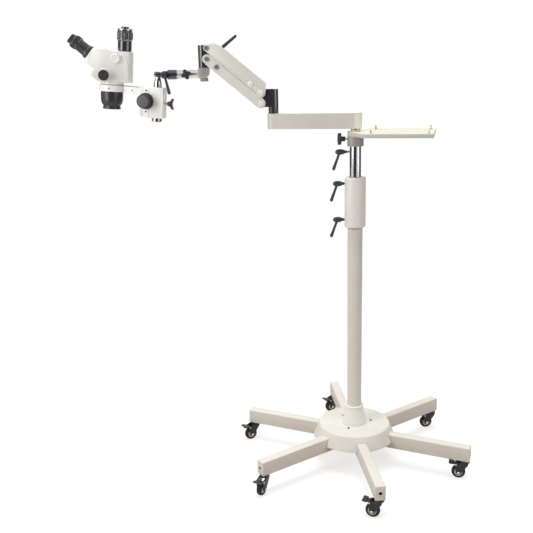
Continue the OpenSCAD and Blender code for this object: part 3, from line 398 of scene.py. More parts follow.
def rounded(points, radius, closed=False, steps=4):
    """An outline with each corner rounded by the radius, or less where its edges are short."""
    made = []
    count = len(points)
    for i, p in enumerate(points):
        p = Vector(p)
        if not closed and i in (0, count - 1):
            made.append(p)
            continue
        to_last = Vector(points[i - 1]) - p
        to_next = Vector(points[(i + 1) % count]) - p
        shorter = min(to_last.length, to_next.length)
        if shorter < NO_LENGTH or to_last.angle(to_next) > NEARLY_STRAIGHT:
            made.append(p)
            continue
        reach = min(radius, shorter * EDGE_SHARE)
        a = p + to_last.normalized() * reach
        b = p + to_next.normalized() * reach
        for k in range(steps + 1):
            t = k / steps
            made.append(a.lerp(p, t).lerp(p.lerp(b, t), t))
    return made


print("a corner becomes", len(rounded([(0, 0), (9, 0), (9, 9)], 1.0)) - 2, "points")


# %% Turned shapes
def turned(points, radius=0.8, closed=False, steps=64, wave=None):
    """Spin (radius, height) points about z. wave(angle, radius) may change the radius."""
    bm = bmesh.new()
    loops = []
    for r, z in rounded(points, radius, closed):
        if r < NO_LENGTH:
            loops.append([bm.verts.new((0, 0, z))])
            continue
        loop = []
        for k in range(steps):
            a = 2 * math.pi * k / steps
            rr = wave(a, r) if wave else r
            loop.append(bm.verts.new((rr * math.cos(a), rr * math.sin(a), z)))
        loops.append(loop)
    pairs = list(zip(loops, loops[1:]))
    if closed:
        pairs.append((loops[-1], loops[0]))
    for low, high in pairs:
        for k in range(steps):
            n = (k + 1) % steps
            corners = [low[k % len(low)], low[n % len(low)], high[n % len(high)], high[k % len(high)]]
            face = list(dict.fromkeys(corners))
            if len(face) > 2:
                bm.faces.new(face)
    return bm


# %% Plain profiles and ways to lay them
def bar(radius, low, high):
    """The profile of a plain round bar."""
    return [(0, low), (radius, low), (radius, high), (0, high)]


def ring(inner, outer, low, high):
    """The profile of a plain ring, to be turned closed."""
    return [(inner, low), (outer, low), (outer, high), (inner, high)]


# Turned shapes stand along z. These lay them along another axis.
ALONG_X = turn(90, "Y")
ALONG_Y = turn(-90, "X")


def outwards(side):
    """Lay a turned shape along y, to the near side for 1 and to the far side for -1."""
    return turn(-90 * side, "X")


show("a plain round bar", turned(bar(5, 0, 10)))


# %% [markdown]
# ## Eased copies
# Cast and sheet-metal pieces keep their CAD shape, but a sharp edge catches no light. They could
# be drawn again with rounded edges. It is safer to copy the solid, melt its triangles back into
# faces, and bevel its sharp edges by about what a file or a paint coat leaves: every hole then
# stays where the CAD model has it.

# %% Easing edges
def ease(bm, width, segments=3, angle=28.0, shortest=0.0, pick=None):
    """Bevel the edges that are sharper than the angle, long enough, and picked by their middle."""
    edges = [
        e for e in bm.edges
        if len(e.link_faces) == 2
        and e.calc_face_angle(0.0) > math.radians(angle)
        and e.calc_length() >= shortest
        and (pick is None or pick((e.verts[0].co + e.verts[1].co) / 2))
    ]
    bmesh.ops.bevel(bm, geom=edges, offset=width, offset_type="OFFSET", segments=segments,
                    profile=0.5, affect="EDGES", clamp_overlap=True)
    return bm


# %% Copies of the solids
CAD_SAME_POINT = 0.003
FLAT_WITHIN = 0.4


def solid_copy(name, place=None):
    """A CAD node's mesh in millimetres, in the given place, with its flat triangles melted."""
    bm = bmesh.new()
    bm.from_mesh(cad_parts[name].data)
    bm.transform(Matrix.Scale(1 / MM, 4))
    if place:
        bm.transform(place.inverted())
    bmesh.ops.remove_doubles(bm, verts=bm.verts, dist=CAD_SAME_POINT)
    bmesh.ops.dissolve_limit(bm, angle_limit=math.radians(FLAT_WITHIN), verts=bm.verts, edges=bm.edges)
    return bm


def eased_node(name, body, material, slot, width, place=None, **how):
    """Keep an eased copy of a CAD node in the node's stead."""
    bm = ease(solid_copy(name, place), width, **how)
    return keep(bm, "eased_" + name, body, material, place, stands_for=(name,))


def refinish(name, material):
    """Give a CAD node that stays as it is a finish."""
    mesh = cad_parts[name].data
    mesh.materials.clear()
    mesh.materials.append(material)
    print("refinished", name, "with", material.name)


print("boom_arm came as", len(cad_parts["boom_arm"].data.polygons), "triangles")
show("its melted copy", solid_copy("boom_arm"))


# %% [markdown]
# ## Light
# The photograph has a white ground and soft light from above, where every top face is near
# white. The world is white only to the camera and to mirror-like surfaces; as a light it stays
# weak and warm, so that it doesn't flatten the shapes. A Light Path node tells the two kinds of
# ray apart.

# %% Telling rays apart
def seen_white(tree):
    """1 for camera, glossy and transmission rays, which see the white background, and else 0."""
    ray = node(tree, "ShaderNodeLightPath", -800, 200)
    total = ray.outputs["Is Camera Ray"]
    for k, kind in enumerate(("Is Glossy Ray", "Is Transmission Ray")):
        either = node(tree, "ShaderNodeMath", -600 + 180 * k, 200)
        either.operation = "MAXIMUM"
        tree.links.new(total, either.inputs[0])
        tree.links.new(ray.outputs[kind], either.inputs[1])
        total = either.outputs["Value"]
    return total


def split_rays(tree, lighting, seen, output_kind):
    """End a tree in two shaders: one for the light it gives, and one for the rays that see it."""
    mix = node(tree, "ShaderNodeMixShader", 0, 0)
    output = node(tree, output_kind, 200, 0)
    tree.links.new(seen_white(tree), mix.inputs["Fac"])
    tree.links.new(lighting, mix.inputs[1])
    tree.links.new(seen, mix.inputs[2])
    tree.links.new(mix.outputs["Shader"], output.inputs["Surface"])


# %% World
SKY_WARM = (1.0, 0.975, 0.945, 1.0)
SKY_STRENGTH = 0.22
WHITE = (1.0, 1.0, 1.0, 1.0)
world = bpy.data.worlds.new("studio")
world.use_nodes = True
bpy.context.scene.world = world
sky = world.node_tree
sky.nodes.clear()
soft = node(sky, "ShaderNodeBackground", -200, 0, Color=SKY_WARM, Strength=SKY_STRENGTH)
plain = node(sky, "ShaderNodeBackground", -200, -150, Color=WHITE, Strength=1.0)
split_rays(sky, soft.outputs["Background"], plain.outputs["Background"], "ShaderNodeOutputWorld")
print("world", world.name, "with", len(sky.nodes), "nodes")

# %% [markdown]
# One broad lamp overhead does most of the work. A softer lamp stands to the left of the camera
# and a weak one to the right. Spot lamps would do too, but area lamps give the soft shadow edges
# of a studio.

# %% Lamps
def lamp(name, power, width, height, place, aim):
    data = bpy.data.lights.new(name, "AREA")
    data.energy = power
    data.shape = "RECTANGLE"
    data.size = width
    data.size_y = height
    lit = bpy.data.objects.new(name, data)
    bpy.context.scene.collection.objects.link(lit)
    lit.location = place
    lit.rotation_euler = (Vector(aim) - Vector(place)).to_track_quat("-Z", "Y").to_euler()
    print("lamp", name, power, "W")
    return lit


overhead = lamp("overhead", power=1850, width=9.0, height=9.0,
                place=(-0.2, 0.2, 14.0), aim=(-0.2, 0.0, 0.8))
# The lamp's mirror image would bleach every shiny top face.
overhead.visible_glossy = False
lamp("left_of_camera", power=46, width=0.9, height=2.4, place=(-2.2, -2.0, 2.1), aim=(-0.7, 0, 1.5))
lamp("right_of_camera", power=22, width=0.6, height=2.2, place=(2.9, -1.3, 1.9), aim=(-0.2, 0, 1.4))

# %% [markdown]
# Chrome has no colour of its own. In a white room it turns white, so a photographer stands black
# flags just out of view, and their reflections draw the dark stripes that make it look round.
# These flags do the same: only reflections see them.

# %% Black flags
FLAG_BLACK = (0.10, 0.085, 0.095, 1.0)
FLAG_REACH, FLAG_LOW, FLAG_HIGH = 3.4, 0.1, 4.2
flag_black = bpy.data.materials.new("flag_black")
flag_black.use_nodes = True
flag_shader = flag_black.node_tree.nodes["Principled BSDF"]
flag_shader.inputs["Base Color"].default_value = FLAG_BLACK
flag_shader.inputs["Roughness"].default_value = 1.0


def flag(name, start, stop, steps=8):
    """A curved sheet round the column between two bearings, in degrees from +X."""
    bm = bmesh.new()
    edge = []
    for k in range(steps + 1):
        a = math.radians(start + (stop - start) * k / steps)
        x, y = FLAG_REACH * math.cos(a), FLAG_REACH * math.sin(a)
        edge.append((bm.verts.new((x, y, FLAG_LOW)), bm.verts.new((x, y, FLAG_HIGH))))
    for (a, b), (c, d) in zip(edge, edge[1:]):
        bm.faces.new((a, c, d, b))
    mesh = bpy.data.meshes.new(name)
    bm.to_mesh(mesh)
    bm.free()
    mesh.materials.append(flag_black)
    sheet = bpy.data.objects.new(name, mesh)
    bpy.context.scene.collection.objects.link(sheet)
    sheet.visible_camera = False
    sheet.visible_diffuse = False
    sheet.visible_transmission = False
    sheet.visible_shadow = False
    print("flag", name, "from", start, "to", stop, "degrees")


flag("flag_behind_camera", -120, -62)
flag("flag_left", 120, 178)
flag("flag_right", 4, 62)

# %% [markdown]
# The stand casts a faint shadow on a floor that melts into the white ground. A plain white floor
# would be greyer than the world behind it, with a visible edge. So to the camera this floor is a
# glow that is nearly white, plus a grey that takes light and shadow and lifts it the rest of the
# way. To everything else it is a warm, darker floor, which keeps its bounce under the legs soft.

# %% Floor
FLOOR_R = 2.4
FLOOR_BOUNCE = (0.56, 0.455, 0.415, 1.0)
FLOOR_SHADE = (0.32, 0.32, 0.32, 1.0)
FLOOR_GLOW = 0.72
floor_bm = bmesh.new()
bmesh.ops.create_circle(floor_bm, cap_ends=True, radius=FLOOR_R, segments=96)
floor_mesh = bpy.data.meshes.new("floor")
floor_bm.to_mesh(floor_mesh)
floor_bm.free()
floor_object = bpy.data.objects.new("floor", floor_mesh)
bpy.context.scene.collection.objects.link(floor_object)
pale_floor = bpy.data.materials.new("pale_floor")
pale_floor.use_nodes = True
ground = pale_floor.node_tree
ground.nodes.clear()
bounce = node(ground, "ShaderNodeBsdfDiffuse", -200, 0, Color=FLOOR_BOUNCE)
shade = node(ground, "ShaderNodeBsdfDiffuse", -400, -200, Color=FLOOR_SHADE)
glow = node(ground, "ShaderNodeEmission", -400, -350, Color=WHITE, Strength=FLOOR_GLOW)
both = node(ground, "ShaderNodeAddShader", -200, -250)
ground.links.new(shade.outputs["BSDF"], both.inputs[0])
ground.links.new(glow.outputs["Emission"], both.inputs[1])
split_rays(ground, bounce.outputs["BSDF"], both.outputs["Shader"], "ShaderNodeOutputMaterial")
floor_mesh.materials.append(pale_floor)
print("floor", 2 * FLOOR_R, "m across")


# %% [markdown]
# ## Repeated fasteners
# Screws, caps and studs repeat, so one Geometry Nodes tree sets them out: it takes a master
# piece and a set of points, each with the direction it faces, and puts a copy on every point.
# A Python loop could copy the mesh too, but in the tree the size and the finish stay named
# inputs that can be changed in one place. The result is made a plain mesh for each body.

# %% The tree that sets out fasteners
def socket(tree, name, kind, way="INPUT"):
    tree.interface.new_socket(name=name, in_out=way, socket_type="NodeSocket" + kind)


def set_out_tree():
    tree = bpy.data.node_groups.new("set_out_on_points", "GeometryNodeTree")
    tree.is_modifier = True
    for name, kind in (("Geometry", "Geometry"), ("Master", "Object"), ("Size", "Float"),
                       ("Finish", "Material")):
        socket(tree, name, kind)
    socket(tree, "Geometry", "Geometry", "OUTPUT")
    start = node(tree, "NodeGroupInput", -800, 0)
    stop = node(tree, "NodeGroupOutput", 600, 0)
    master = node(tree, "GeometryNodeObjectInfo", -500, -200)
    facing = node(tree, "GeometryNodeInputNamedAttribute", -700, 200)
    facing.data_type = "FLOAT_VECTOR"
    facing.inputs["Name"].default_value = "facing"
    align = node(tree, "FunctionNodeAlignRotationToVector", -450, 200)
    align.axis = "Z"
    copies = node(tree, "GeometryNodeInstanceOnPoints", -150, 0)
    real = node(tree, "GeometryNodeRealizeInstances", 150, 0)
    coat = node(tree, "GeometryNodeSetMaterial", 350, 0)
    link = tree.links.new
    link(start.outputs["Geometry"], copies.inputs["Points"])
    link(start.outputs["Master"], master.inputs["Object"])
    link(master.outputs["Geometry"], copies.inputs["Instance"])
    link(facing.outputs["Attribute"], align.inputs["Vector"])
    link(align.outputs["Rotation"], copies.inputs["Rotation"])
    link(start.outputs["Size"], copies.inputs["Scale"])
    link(copies.outputs["Instances"], real.inputs["Geometry"])
    link(real.outputs["Geometry"], coat.inputs["Geometry"])
    link(start.outputs["Finish"], coat.inputs["Material"])
    link(coat.outputs["Geometry"], stop.inputs["Geometry"])
    return tree


SET_OUT = set_out_tree()
print("tree", SET_OUT.name, "with", len(SET_OUT.nodes), "nodes")


# %% [markdown]
# A tree acts through a modifier on some object. Its inputs are set by the identifier of each
# socket before the object is first evaluated, and the evaluated result is copied to a plain mesh,
# because an export would drop the instances.

# %% Running a tree
def from_tree(tree, mesh, values):
    """Run a tree on a mesh with named values and return the result as a new bmesh."""
    carrier = bpy.data.objects.new("carrier", mesh)
    bpy.context.scene.collection.objects.link(carrier)
    modifier = carrier.modifiers.new("tree", "NODES")
    modifier.node_group = tree
    for item in tree.interface.items_tree:
        if item.item_type == "SOCKET" and item.in_out == "INPUT" and item.name in values:
            modifier[item.identifier] = values[item.name]
    bpy.context.view_layer.update()
    ready = carrier.evaluated_get(bpy.context.evaluated_depsgraph_get())
    made = bpy.data.meshes.new_from_object(ready)
    carrier.modifiers.remove(modifier)
    bpy.data.objects.remove(carrier)
    bm = bmesh.new()
    bm.from_mesh(made)
    bpy.data.meshes.remove(made)
    return bm


# %% Setting out a row of fasteners
def set_out(master_bm, spots, name, body, material, place=None, stands_for=()):
    """Keep a copy of the master on each spot. Spots are (point, facing) in the place's millimetres."""
    master_mesh = bpy.data.meshes.new("master")
    master_bm.to_mesh(master_mesh)
    master_bm.free()
    master = bpy.data.objects.new("master", master_mesh)
    bpy.context.scene.collection.objects.link(master)
    points = bpy.data.meshes.new("points")
    points.from_pydata([p for p, _ in spots], [], [])
    facing = points.attributes.new("facing", "FLOAT_VECTOR", "POINT")
    for item, (_, way) in zip(facing.data, spots):
        item.vector = way
    bm = from_tree(SET_OUT, points, {"Master": master, "Size": 1.0, "Finish": material})
    bpy.data.objects.remove(master)
    return keep(bm, name, body, material, place, stands_for)


def on_both_sides(x, half, z):
    """A spot on the far side and one on the near side, both facing outwards."""
    return [(Vector((x, side * half, z)), Vector((0, side, 0))) for side in (-1, 1)]


UP = Vector((0, 0, 1))
OUT = Vector((1, 0, 0))


# %% [markdown]
# ### Masters
# A socket-head screw is a round head with a chamfer and a six-sided socket. The socket could be
# cut by a Boolean, but a hexagon written with as many points as the circle joins up ring by ring
# and leaves a clean mesh. The caps on the links are plain domes, so they are turned.

# %% A socket-head screw, drawn once
HEAD_STEPS = 24
HEXAGON = math.pi / 3


def socket_head(radius, height, key):
    """A round head with a six-sided socket, standing on z = 0."""
    bm = bmesh.new()
    chamfer = radius * 0.12

    def loop(r, z, hexagon=False):
        made = []
        for k in range(HEAD_STEPS):
            a = 2 * math.pi * k / HEAD_STEPS
            rr = r
            if hexagon:
                rr = r * math.cos(HEXAGON / 2) / math.cos((a % HEXAGON) - HEXAGON / 2)
            made.append(bm.verts.new((rr * math.cos(a), rr * math.sin(a), z)))
        return made

    loops = [loop(radius, 0), loop(radius, height - chamfer), loop(radius - chamfer, height),
             loop(key, height, True), loop(key * 0.96, height * 0.35, True)]
    for low, high in zip(loops, loops[1:]):
        for k in range(HEAD_STEPS):
            n = (k + 1) % HEAD_STEPS
            bm.faces.new((low[k], low[n], high[n], high[k]))
    bm.faces.new(loops[-1])
    bm.faces.new(list(reversed(loops[0])))
    return bm


show("a screw head", socket_head(4.5, 2.5, 2.2))


# %% A domed cap, drawn once
def cap(radius, height, root=1.5, rim=1.2):
    """A plain cap with a slightly domed face, standing on z = 0 and rooted a little below it."""
    profile = [(0, -root), (radius, -root), (radius, height - rim), (radius - rim, height - 0.3),
               (radius * 0.5, height), (0, height + 0.2)]
    return turned(profile, 0.6, steps=40)


show("a cap", cap(11, 4.5))


# %% [markdown]
# ## Ribs round a grip
# Focus knobs, zoom knobs and the dioptre rings have a ribbed grip. A bump map would show ribs on
# the face but leave the outline smooth, so they are real here. A second tree stands ribs round
# a circle; each rib is a small bar that sinks into the knob and shows as a ridge.

# %% The tree that stands ribs round a circle
def ribs_tree():
    tree = bpy.data.node_groups.new("ribs_round_a_grip", "GeometryNodeTree")
    tree.is_modifier = True
    for name, kind in (("Geometry", "Geometry"), ("Count", "Int"), ("Radius", "Float"),
                       ("Width", "Float"), ("Depth", "Float"), ("Length", "Float"),
                       ("Finish", "Material")):
        socket(tree, name, kind)
    socket(tree, "Geometry", "Geometry", "OUTPUT")
    start = node(tree, "NodeGroupInput", -900, 0)
    stop = node(tree, "NodeGroupOutput", 700, 0)
    circle = node(tree, "GeometryNodeMeshCircle", -600, 200)
    where = node(tree, "GeometryNodeInputPosition", -600, 0)
    align = node(tree, "FunctionNodeAlignRotationToVector", -400, 0)
    align.axis = "X"
    rod = node(tree, "GeometryNodeMeshCylinder", -600, -250, Vertices=6, Radius=0.5, Depth=1.0)
    size = node(tree, "ShaderNodeCombineXYZ", -400, -400)
    copies = node(tree, "GeometryNodeInstanceOnPoints", -100, 0)
    real = node(tree, "GeometryNodeRealizeInstances", 250, 0)
    coat = node(tree, "GeometryNodeSetMaterial", 450, 0)
    link = tree.links.new
    link(start.outputs["Count"], circle.inputs["Vertices"])
    link(start.outputs["Radius"], circle.inputs["Radius"])
    link(where.outputs["Position"], align.inputs["Vector"])
    link(start.outputs["Depth"], size.inputs["X"])
    link(start.outputs["Width"], size.inputs["Y"])
    link(start.outputs["Length"], size.inputs["Z"])
    link(circle.outputs["Mesh"], copies.inputs["Points"])
    link(rod.outputs["Mesh"], copies.inputs["Instance"])
    link(align.outputs["Rotation"], copies.inputs["Rotation"])
    link(size.outputs["Vector"], copies.inputs["Scale"])
    link(copies.outputs["Instances"], real.inputs["Geometry"])
    link(real.outputs["Geometry"], coat.inputs["Geometry"])
    link(start.outputs["Finish"], coat.inputs["Material"])
    link(coat.outputs["Geometry"], stop.inputs["Geometry"])
    return tree


RIBS = ribs_tree()
print("tree", RIBS.name, "with", len(RIBS.nodes), "nodes")


# %% A band of ribs
def ribs(count, radius, width, depth, length, material):
    """Ribs of the given length round z, centred on z = 0, as a mesh to join or keep."""
    sizes = {"Radius": radius, "Width": width, "Depth": depth, "Length": length}
    values = {name: float(size) for name, size in sizes.items()}
    return from_tree(RIBS, bpy.data.meshes.new("start"), {**values, "Count": count, "Finish": material})


show("a band of 48 ribs", ribs(48, 20.2, 1.4, 1.2, 11, black_moulding))


# %% [markdown]
# ## Legs and pan
# Six box tubes meet at a core that a spun pan hides. Box tube has rounded corners from the
# rolling mill, so the long edges of the CAD copy get a three millimetre bevel and the short ones
# stay crisp. Each end plate has a small hole with a raised ring round it, painted with the leg.

# %% Legs
eased_node("base_legs", "base", leg_enamel_painted_shade, "frame_paint", 3.0, shortest=20.0)
leg_ends = []
for k in range(LEGS):
    leg = leg_place(k)
    leg_ends.append((leg @ Vector((LEG_REACH, 0, LEG_MID)), leg @ OUT))
end_ring = turned(ring(7.0, 10.6, -1.5, 1.2), 0.5, closed=True, steps=40)
set_out(end_ring, leg_ends, "leg_end_rings", "base", leg_enamel_painted_shade)

# %% [markdown]
# The pan is spun sheet with a flared skirt. Its CAD copy has only its sharp rims eased, because
# the skirt is already smooth. Three black screws hold it, each between two legs.

# %% Pan and its screws
PAN_TOP = 166.0
PAN_SCREWS = 3
PAN_SCREW_CIRCLE = 72.0
eased_node("base_hub", "base", frame_enamel, "frame_paint", 0.8, angle=60)
pan_spots = []
for k in range(PAN_SCREWS):
    bearing = turn(LEG_TURN - LEG_STEP / 2 + 360 / PAN_SCREWS * k, "Z")
    pan_spots.append((bearing @ Vector((PAN_SCREW_CIRCLE, 0, PAN_TOP)), UP))
set_out(socket_head(4.5, 2.5, 2.2), pan_spots, "pan_screws", "base", fork_enamel,
        stands_for=("hub_screws",))

# %% [markdown]
# ## Column
# The column is painted tube and keeps its CAD mesh with a new finish: there is nothing on it to
# ease. The cone cover at its foot is a moulding with a lip at each end, and the clamp collar at
# its head is a thick sleeve with rolled edges. Both are round, so both are turned.

# %% Column, cone cover and collar
COLUMN_R, COLUMN_TOP = 30.0, 1175.0
MAST_R = 22.5
COLLAR_R, COLLAR_FOOT, COLLAR_TOP = 42.0, 1020.0, 1220.0
SLIP = 0.2
refinish("column_tube", frame_enamel)
cover_bore = COLUMN_R + 0.3
cover = turned([(cover_bore, 0), (50, 0), (51, 2), (50.2, 6), (38.4, 70), (38.4, 73), (39.6, 74.5),
                (39.6, 80.5), (37.5, 82), (cover_bore, 82)], 1.6, closed=True)
keep(cover, "boot_cover", "base", boot_moulding, move(0, 0, PAN_TOP),
     stands_for=("column_boot",))
collar = turned([(COLUMN_R + SLIP, COLLAR_FOOT), (COLLAR_R, COLLAR_FOOT), (COLLAR_R, COLLAR_TOP),
                 (MAST_R + SLIP, COLLAR_TOP), (MAST_R + SLIP, COLUMN_TOP), (COLUMN_R + SLIP, COLUMN_TOP)],
                6.0, closed=True)
keep(collar, "clamp_collar", "base", light_enamel, stands_for=("column_collar",))
# Painted shadow: a thin grey ring at the collar's foot stands for the collar's shadow on the column.
shadow_ring_bore = COLUMN_R + 0.1
shadow_ring = turned([(shadow_ring_bore, -6), (31.2, -6), (31.6, -0.4), (shadow_ring_bore, -0.4)], 0.3, closed=True)
keep(shadow_ring, "collar_seal", "base", painted_shade_grey, move(0, 0, COLLAR_FOOT))


# %% [markdown]
# ## Casters
# A twin-cheek fork holds a soft tyre on a nylon hub, an axle with a nut on each side and a brake
# pedal. Tyre and hub are mirrored left to right, so half a profile is written and its mirror
# image completes it. Everything is drawn once about the swivel axis, and each copy rides on its
# own bodies.

# %% Wheels
def mirrored(half):
    """A closed profile from its upper half: the lower half, and then the upper one reversed."""
    return [(r, -z) for r, z in half] + half[::-1]


def caster_wheel(n):
    spin = caster_place(n) @ move(TRAIL, 0, WHEEL_R) @ turn(90, "X")
    half_tyre = [(17.4, 8), (17.4, 10.4), (22.5, 11), (WHEEL_R - 1.8, 8.6), (WHEEL_R, 4)]
    keep(turned(mirrored(half_tyre), 1.2, closed=True), f"tyre_{n}", f"wheel_{n}", tread_rubber,
         spin, stands_for=(f"caster_wheel_{n}",))
    half_hub = [(4.1, 11), (9.5, 11), (9.5, 8), (11, 7.2), (15.5, 8.2), (17.5, 9.6)]
    keep(turned(mirrored(half_hub), 0.6, closed=True), f"wheel_hub_{n}", f"wheel_{n}", hub_nylon,
         spin)


for n in range(1, LEGS + 1):
    caster_wheel(n)

# %% [markdown]
# The forks are bent plate, so their CAD copy is eased by little more than the paint. The axle's
# nuts and the rivets that carry the pedal come from the fastener tree. The first caster is the
# one without a pedal.

# %% Forks and pedals
NUT_OUT, RIVET_OUT = 18.4, 17.2
RIVET_AT = (TRAIL + 10, 2 * WHEEL_R + 6)


def caster_fork(n):
    place, body = caster_place(n), f"caster_{n}"
    eased_node(f"caster_fork_{n}", body, fork_enamel, "fork_metal", 0.7, place, segments=2, angle=40)
    nuts = on_both_sides(TRAIL, NUT_OUT, WHEEL_R)
    set_out(socket_head(5.6, 2.6, 2.6), nuts, f"axle_nuts_{n}", body, turned_steel, place)
    rivets = on_both_sides(RIVET_AT[0], RIVET_OUT, RIVET_AT[1])
    set_out(cap(3.4, 1.8), rivets, f"pedal_rivets_{n}", body, turned_steel, place)
    if n > 1:
        eased_node(f"brake_pedal_{n}", f"pedal_{n}", black_moulding, "black_plastic", 1.0, place)


for n in range(1, LEGS + 1):
    caster_fork(n)


# %% [markdown]
# ## Clamp levers
# The mast and the collar are locked by moulded levers: a spindle-shaped hub with a steel button
# in its end, and a handle that narrows as it leaves the hub and flares to a round tip. A curve
# with a bevel could make such a handle. Here it is a row of rings along a line, because the same
# few lines of code also sweep the wire of the balance spring.

# %% Handles
def swept(stations, steps=24):
    """A closed round bar through (centre, radius) stations."""
    bm = bmesh.new()
    loops = []
    for i, (centre, radius) in enumerate(stations):
        last = Vector(stations[max(i - 1, 0)][0])
        after = Vector(stations[min(i + 1, len(stations) - 1)][0])
        way = (after - last).normalized().to_track_quat("Z", "Y").to_matrix()
        loop = []
        for k in range(steps):
            a = 2 * math.pi * k / steps
            spoke = Vector((radius * math.cos(a), radius * math.sin(a), 0))
            loop.append(bm.verts.new(Vector(centre) + way @ spoke))
        loops.append(loop)
    for low, high in zip(loops, loops[1:]):
        for k in range(steps):
            n = (k + 1) % steps
            bm.faces.new((low[k], low[n], high[n], high[k]))
    bm.faces.new(list(reversed(loops[0])))
    bm.faces.new(loops[-1])
    return bm


LEVER_LONG = 76.0
SHANK_STEPS, TIP_STEPS = 12, 6
FLARE_FROM = 0.35


def handle(length, start=5.5, waist=4.8, tip=6.5):
    """A handle along z that narrows and then flares to a round tip."""
    stations = []
    for k in range(SHANK_STEPS + 1):
        t = k / SHANK_STEPS
        flare = max(0, t - FLARE_FROM) / (1 - FLARE_FROM)
        radius = start + (waist - start) * min(1, t * 2.2) + (tip - waist) * flare
        stations.append(((0, 0, t * (length - tip)), radius))
    for k in range(1, TIP_STEPS + 1):
        a = k / TIP_STEPS * math.pi / 2 * 0.97
        stations.append(((0, 0, length - tip + tip * math.sin(a)), tip * math.cos(a)))
    return swept(stations)


show("a lever's handle", handle(LEVER_LONG))

# %% [markdown]
# All three clamp levers are the same part on stems of different lengths. The hub is turned lying
# outwards from the column, and the handle leaves its middle and hangs down, leaning outwards.

# %% Levers on the collar and the mast
LEVER_STUD_R = 4.0
HANDLE_FROM, HANDLE_LEAN = 27.0, 160.0
UPPER_LEVER_Z, LOWER_LEVER_Z = COLLAR_TOP - 25, COLLAR_FOOT + 30
MAST_LEVER_Z = MAST_TOP - 79


def clamp_lever(name, body, place, stem):
    """A lever whose hub starts at the given length of stem. It stands for the node of its body."""
    hub = turned([(0, -0.5), (4, -0.5), (5.4, 0.8), (6.0, 7), (9.0, 13), (10.8, 19), (10.8, 31),
                  (9.4, 38), (6.2, 43), (0, 44)], 1.4)
    lever = joined((hub, ALONG_X @ move(0, 0, stem)),
                   (handle(LEVER_LONG), move(stem + HANDLE_FROM) @ turn(HANDLE_LEAN, "Y")))
    keep(lever, name, body, black_moulding, place, stands_for=(body,))
    stud = turned(bar(LEVER_STUD_R, -6, stem + 1), 0.3, steps=32)
    button = turned(bar(3.2, stem + 43.6, stem + 45), 0.4, steps=32)
    keep(joined((stud, ALONG_X), (button, ALONG_X)), name + "_stud", body, bolt_grey, place)


clamp_lever("collar_lever_top", "collar_lever_upper", lever_side @ move(COLLAR_R, 0, UPPER_LEVER_Z), 2)
clamp_lever("collar_lever_foot", "collar_lever_lower", lever_side @ move(COLLAR_R, 0, LOWER_LEVER_Z), 2)
clamp_lever("mast_clamp_lever", "mast_lever", lever_side @ move(MAST_R, 0, MAST_LEVER_Z), 12)

# %% [markdown]
# ## Mast and tray
# The mast is hard-chromed tube and keeps its CAD mesh: chrome shows every facet, and that mesh
# carries the exact normals. The tray is folded sheet with its lip turned down, so its copy is
# eased by a bend's radius. A thin darker shell round the tray's collar paints the shade under the tray.

# %% Mast and tray
SHADE_SHELL_LOW, SHADE_SHELL_HIGH = MAST_TOP - 57.2, MAST_TOP - 22.2
refinish("mast_tube", polished_chrome)
eased_node("tray_plate", "tray", tray_enamel, "frame_paint", 1.2, angle=50, shortest=6.0)
# Painted shade: a thin darker shell over the tray's collar, for the shade under the tray.
shade_shell = turned(ring(31.4, 31.9, SHADE_SHELL_LOW, SHADE_SHELL_HIGH), 0.2, closed=True)
keep(shade_shell, "tray_collar_sleeve", "tray", painted_shade_grey)


# %% [markdown]
# Star knobs lock the tray and the roll shaft. A lobed grip could be cut from a disc by six
# Booleans. It is simpler to turn the disc while a wave changes its radius with the angle, which
# also keeps the rounded rim even all the way round.

# %% Star knobs
def star_grip(lobes, outer, inner, height):
    """A lobed grip on z = 0, full between its lobes and rounded at both faces."""
    def wave(a, r):
        lobe = (0.5 + 0.5 * math.cos(lobes * a)) ** 0.7
        return r * (inner + (outer - inner) * lobe) / outer

    return turned(bar(outer, 0, height), height * 0.3, steps=lobes * 20, wave=wave)


def star_knob(name, body, place, neck, lobes, outer, inner, height):
    """A star knob whose grip starts at the given length of neck. It stands for its body's node."""
    grip = star_grip(lobes, outer, inner, height)
    boss_r, foot, top = outer * 0.42, neck * 0.35, neck + height
    boss = turned([(0, foot), (boss_r, foot), (boss_r, neck - 2), (outer * 0.55, neck + 1), (0, neck + 1)],
                  1.0)
    face = turned([(0, top - 1), (outer * 0.35, top - 1), (outer * 0.32, top + 0.8), (0, top + 1.0)], 0.6)
    knob = joined((grip, ALONG_X @ move(0, 0, neck)), (boss, ALONG_X), (face, ALONG_X))
    keep(knob, name, body, black_moulding, place, stands_for=(body,))
    stud = turned(bar(4, -3, neck), 0.3, steps=32)
    keep(joined((stud, ALONG_X)), name + "_stud", body, turned_steel, place)


TRAY_COLLAR_R = 31.5
TRAY_KNOB_Z = MAST_TOP - 28.5
star_knob("tray_star_knob", "tray_knob", lever_side @ move(TRAY_COLLAR_R, 0, TRAY_KNOB_Z),
          neck=24, lobes=6, outer=23, inner=17.5, height=14)

# %% [markdown]
# Four brass studs stand near the corners of the tray, to hold what is put there. They are turned
# parts with a flange, so one profile is turned and the fastener tree sets it out.

# %% Studs on the tray
TRAY_MID, STUD_OUT, STUD_SIDE = 177.0, 107.5, 95.0
brass_stud = turned([(0, -6), (5.7, -6), (5.7, -3), (2.75, -3), (2.75, 0.6), (5.2, 0.6), (5.2, 2.4),
                     (3.25, 2.4), (3.25, 12.6), (2.5, 13.5), (0, 13.5)], 0.3, steps=32)
corners = []
for end in (-1, 1):
    for side in (-1, 1):
        corners.append((Vector((TRAY_MID + end * STUD_OUT, side * STUD_SIDE, MAST_TOP)), UP))
set_out(brass_stud, corners, "brass_studs", "tray", turned_brass, stands_for=("tray_studs",))


# %% [markdown]
# ## Boom
# The boom is a casting with round ends. Its long top edge shows a soft highlight in the
# photograph, so its rim is rolled over in several steps. Its outline is two half circles, which
# is easier to write than to find among the CAD model's triangles, so it is drawn afresh.

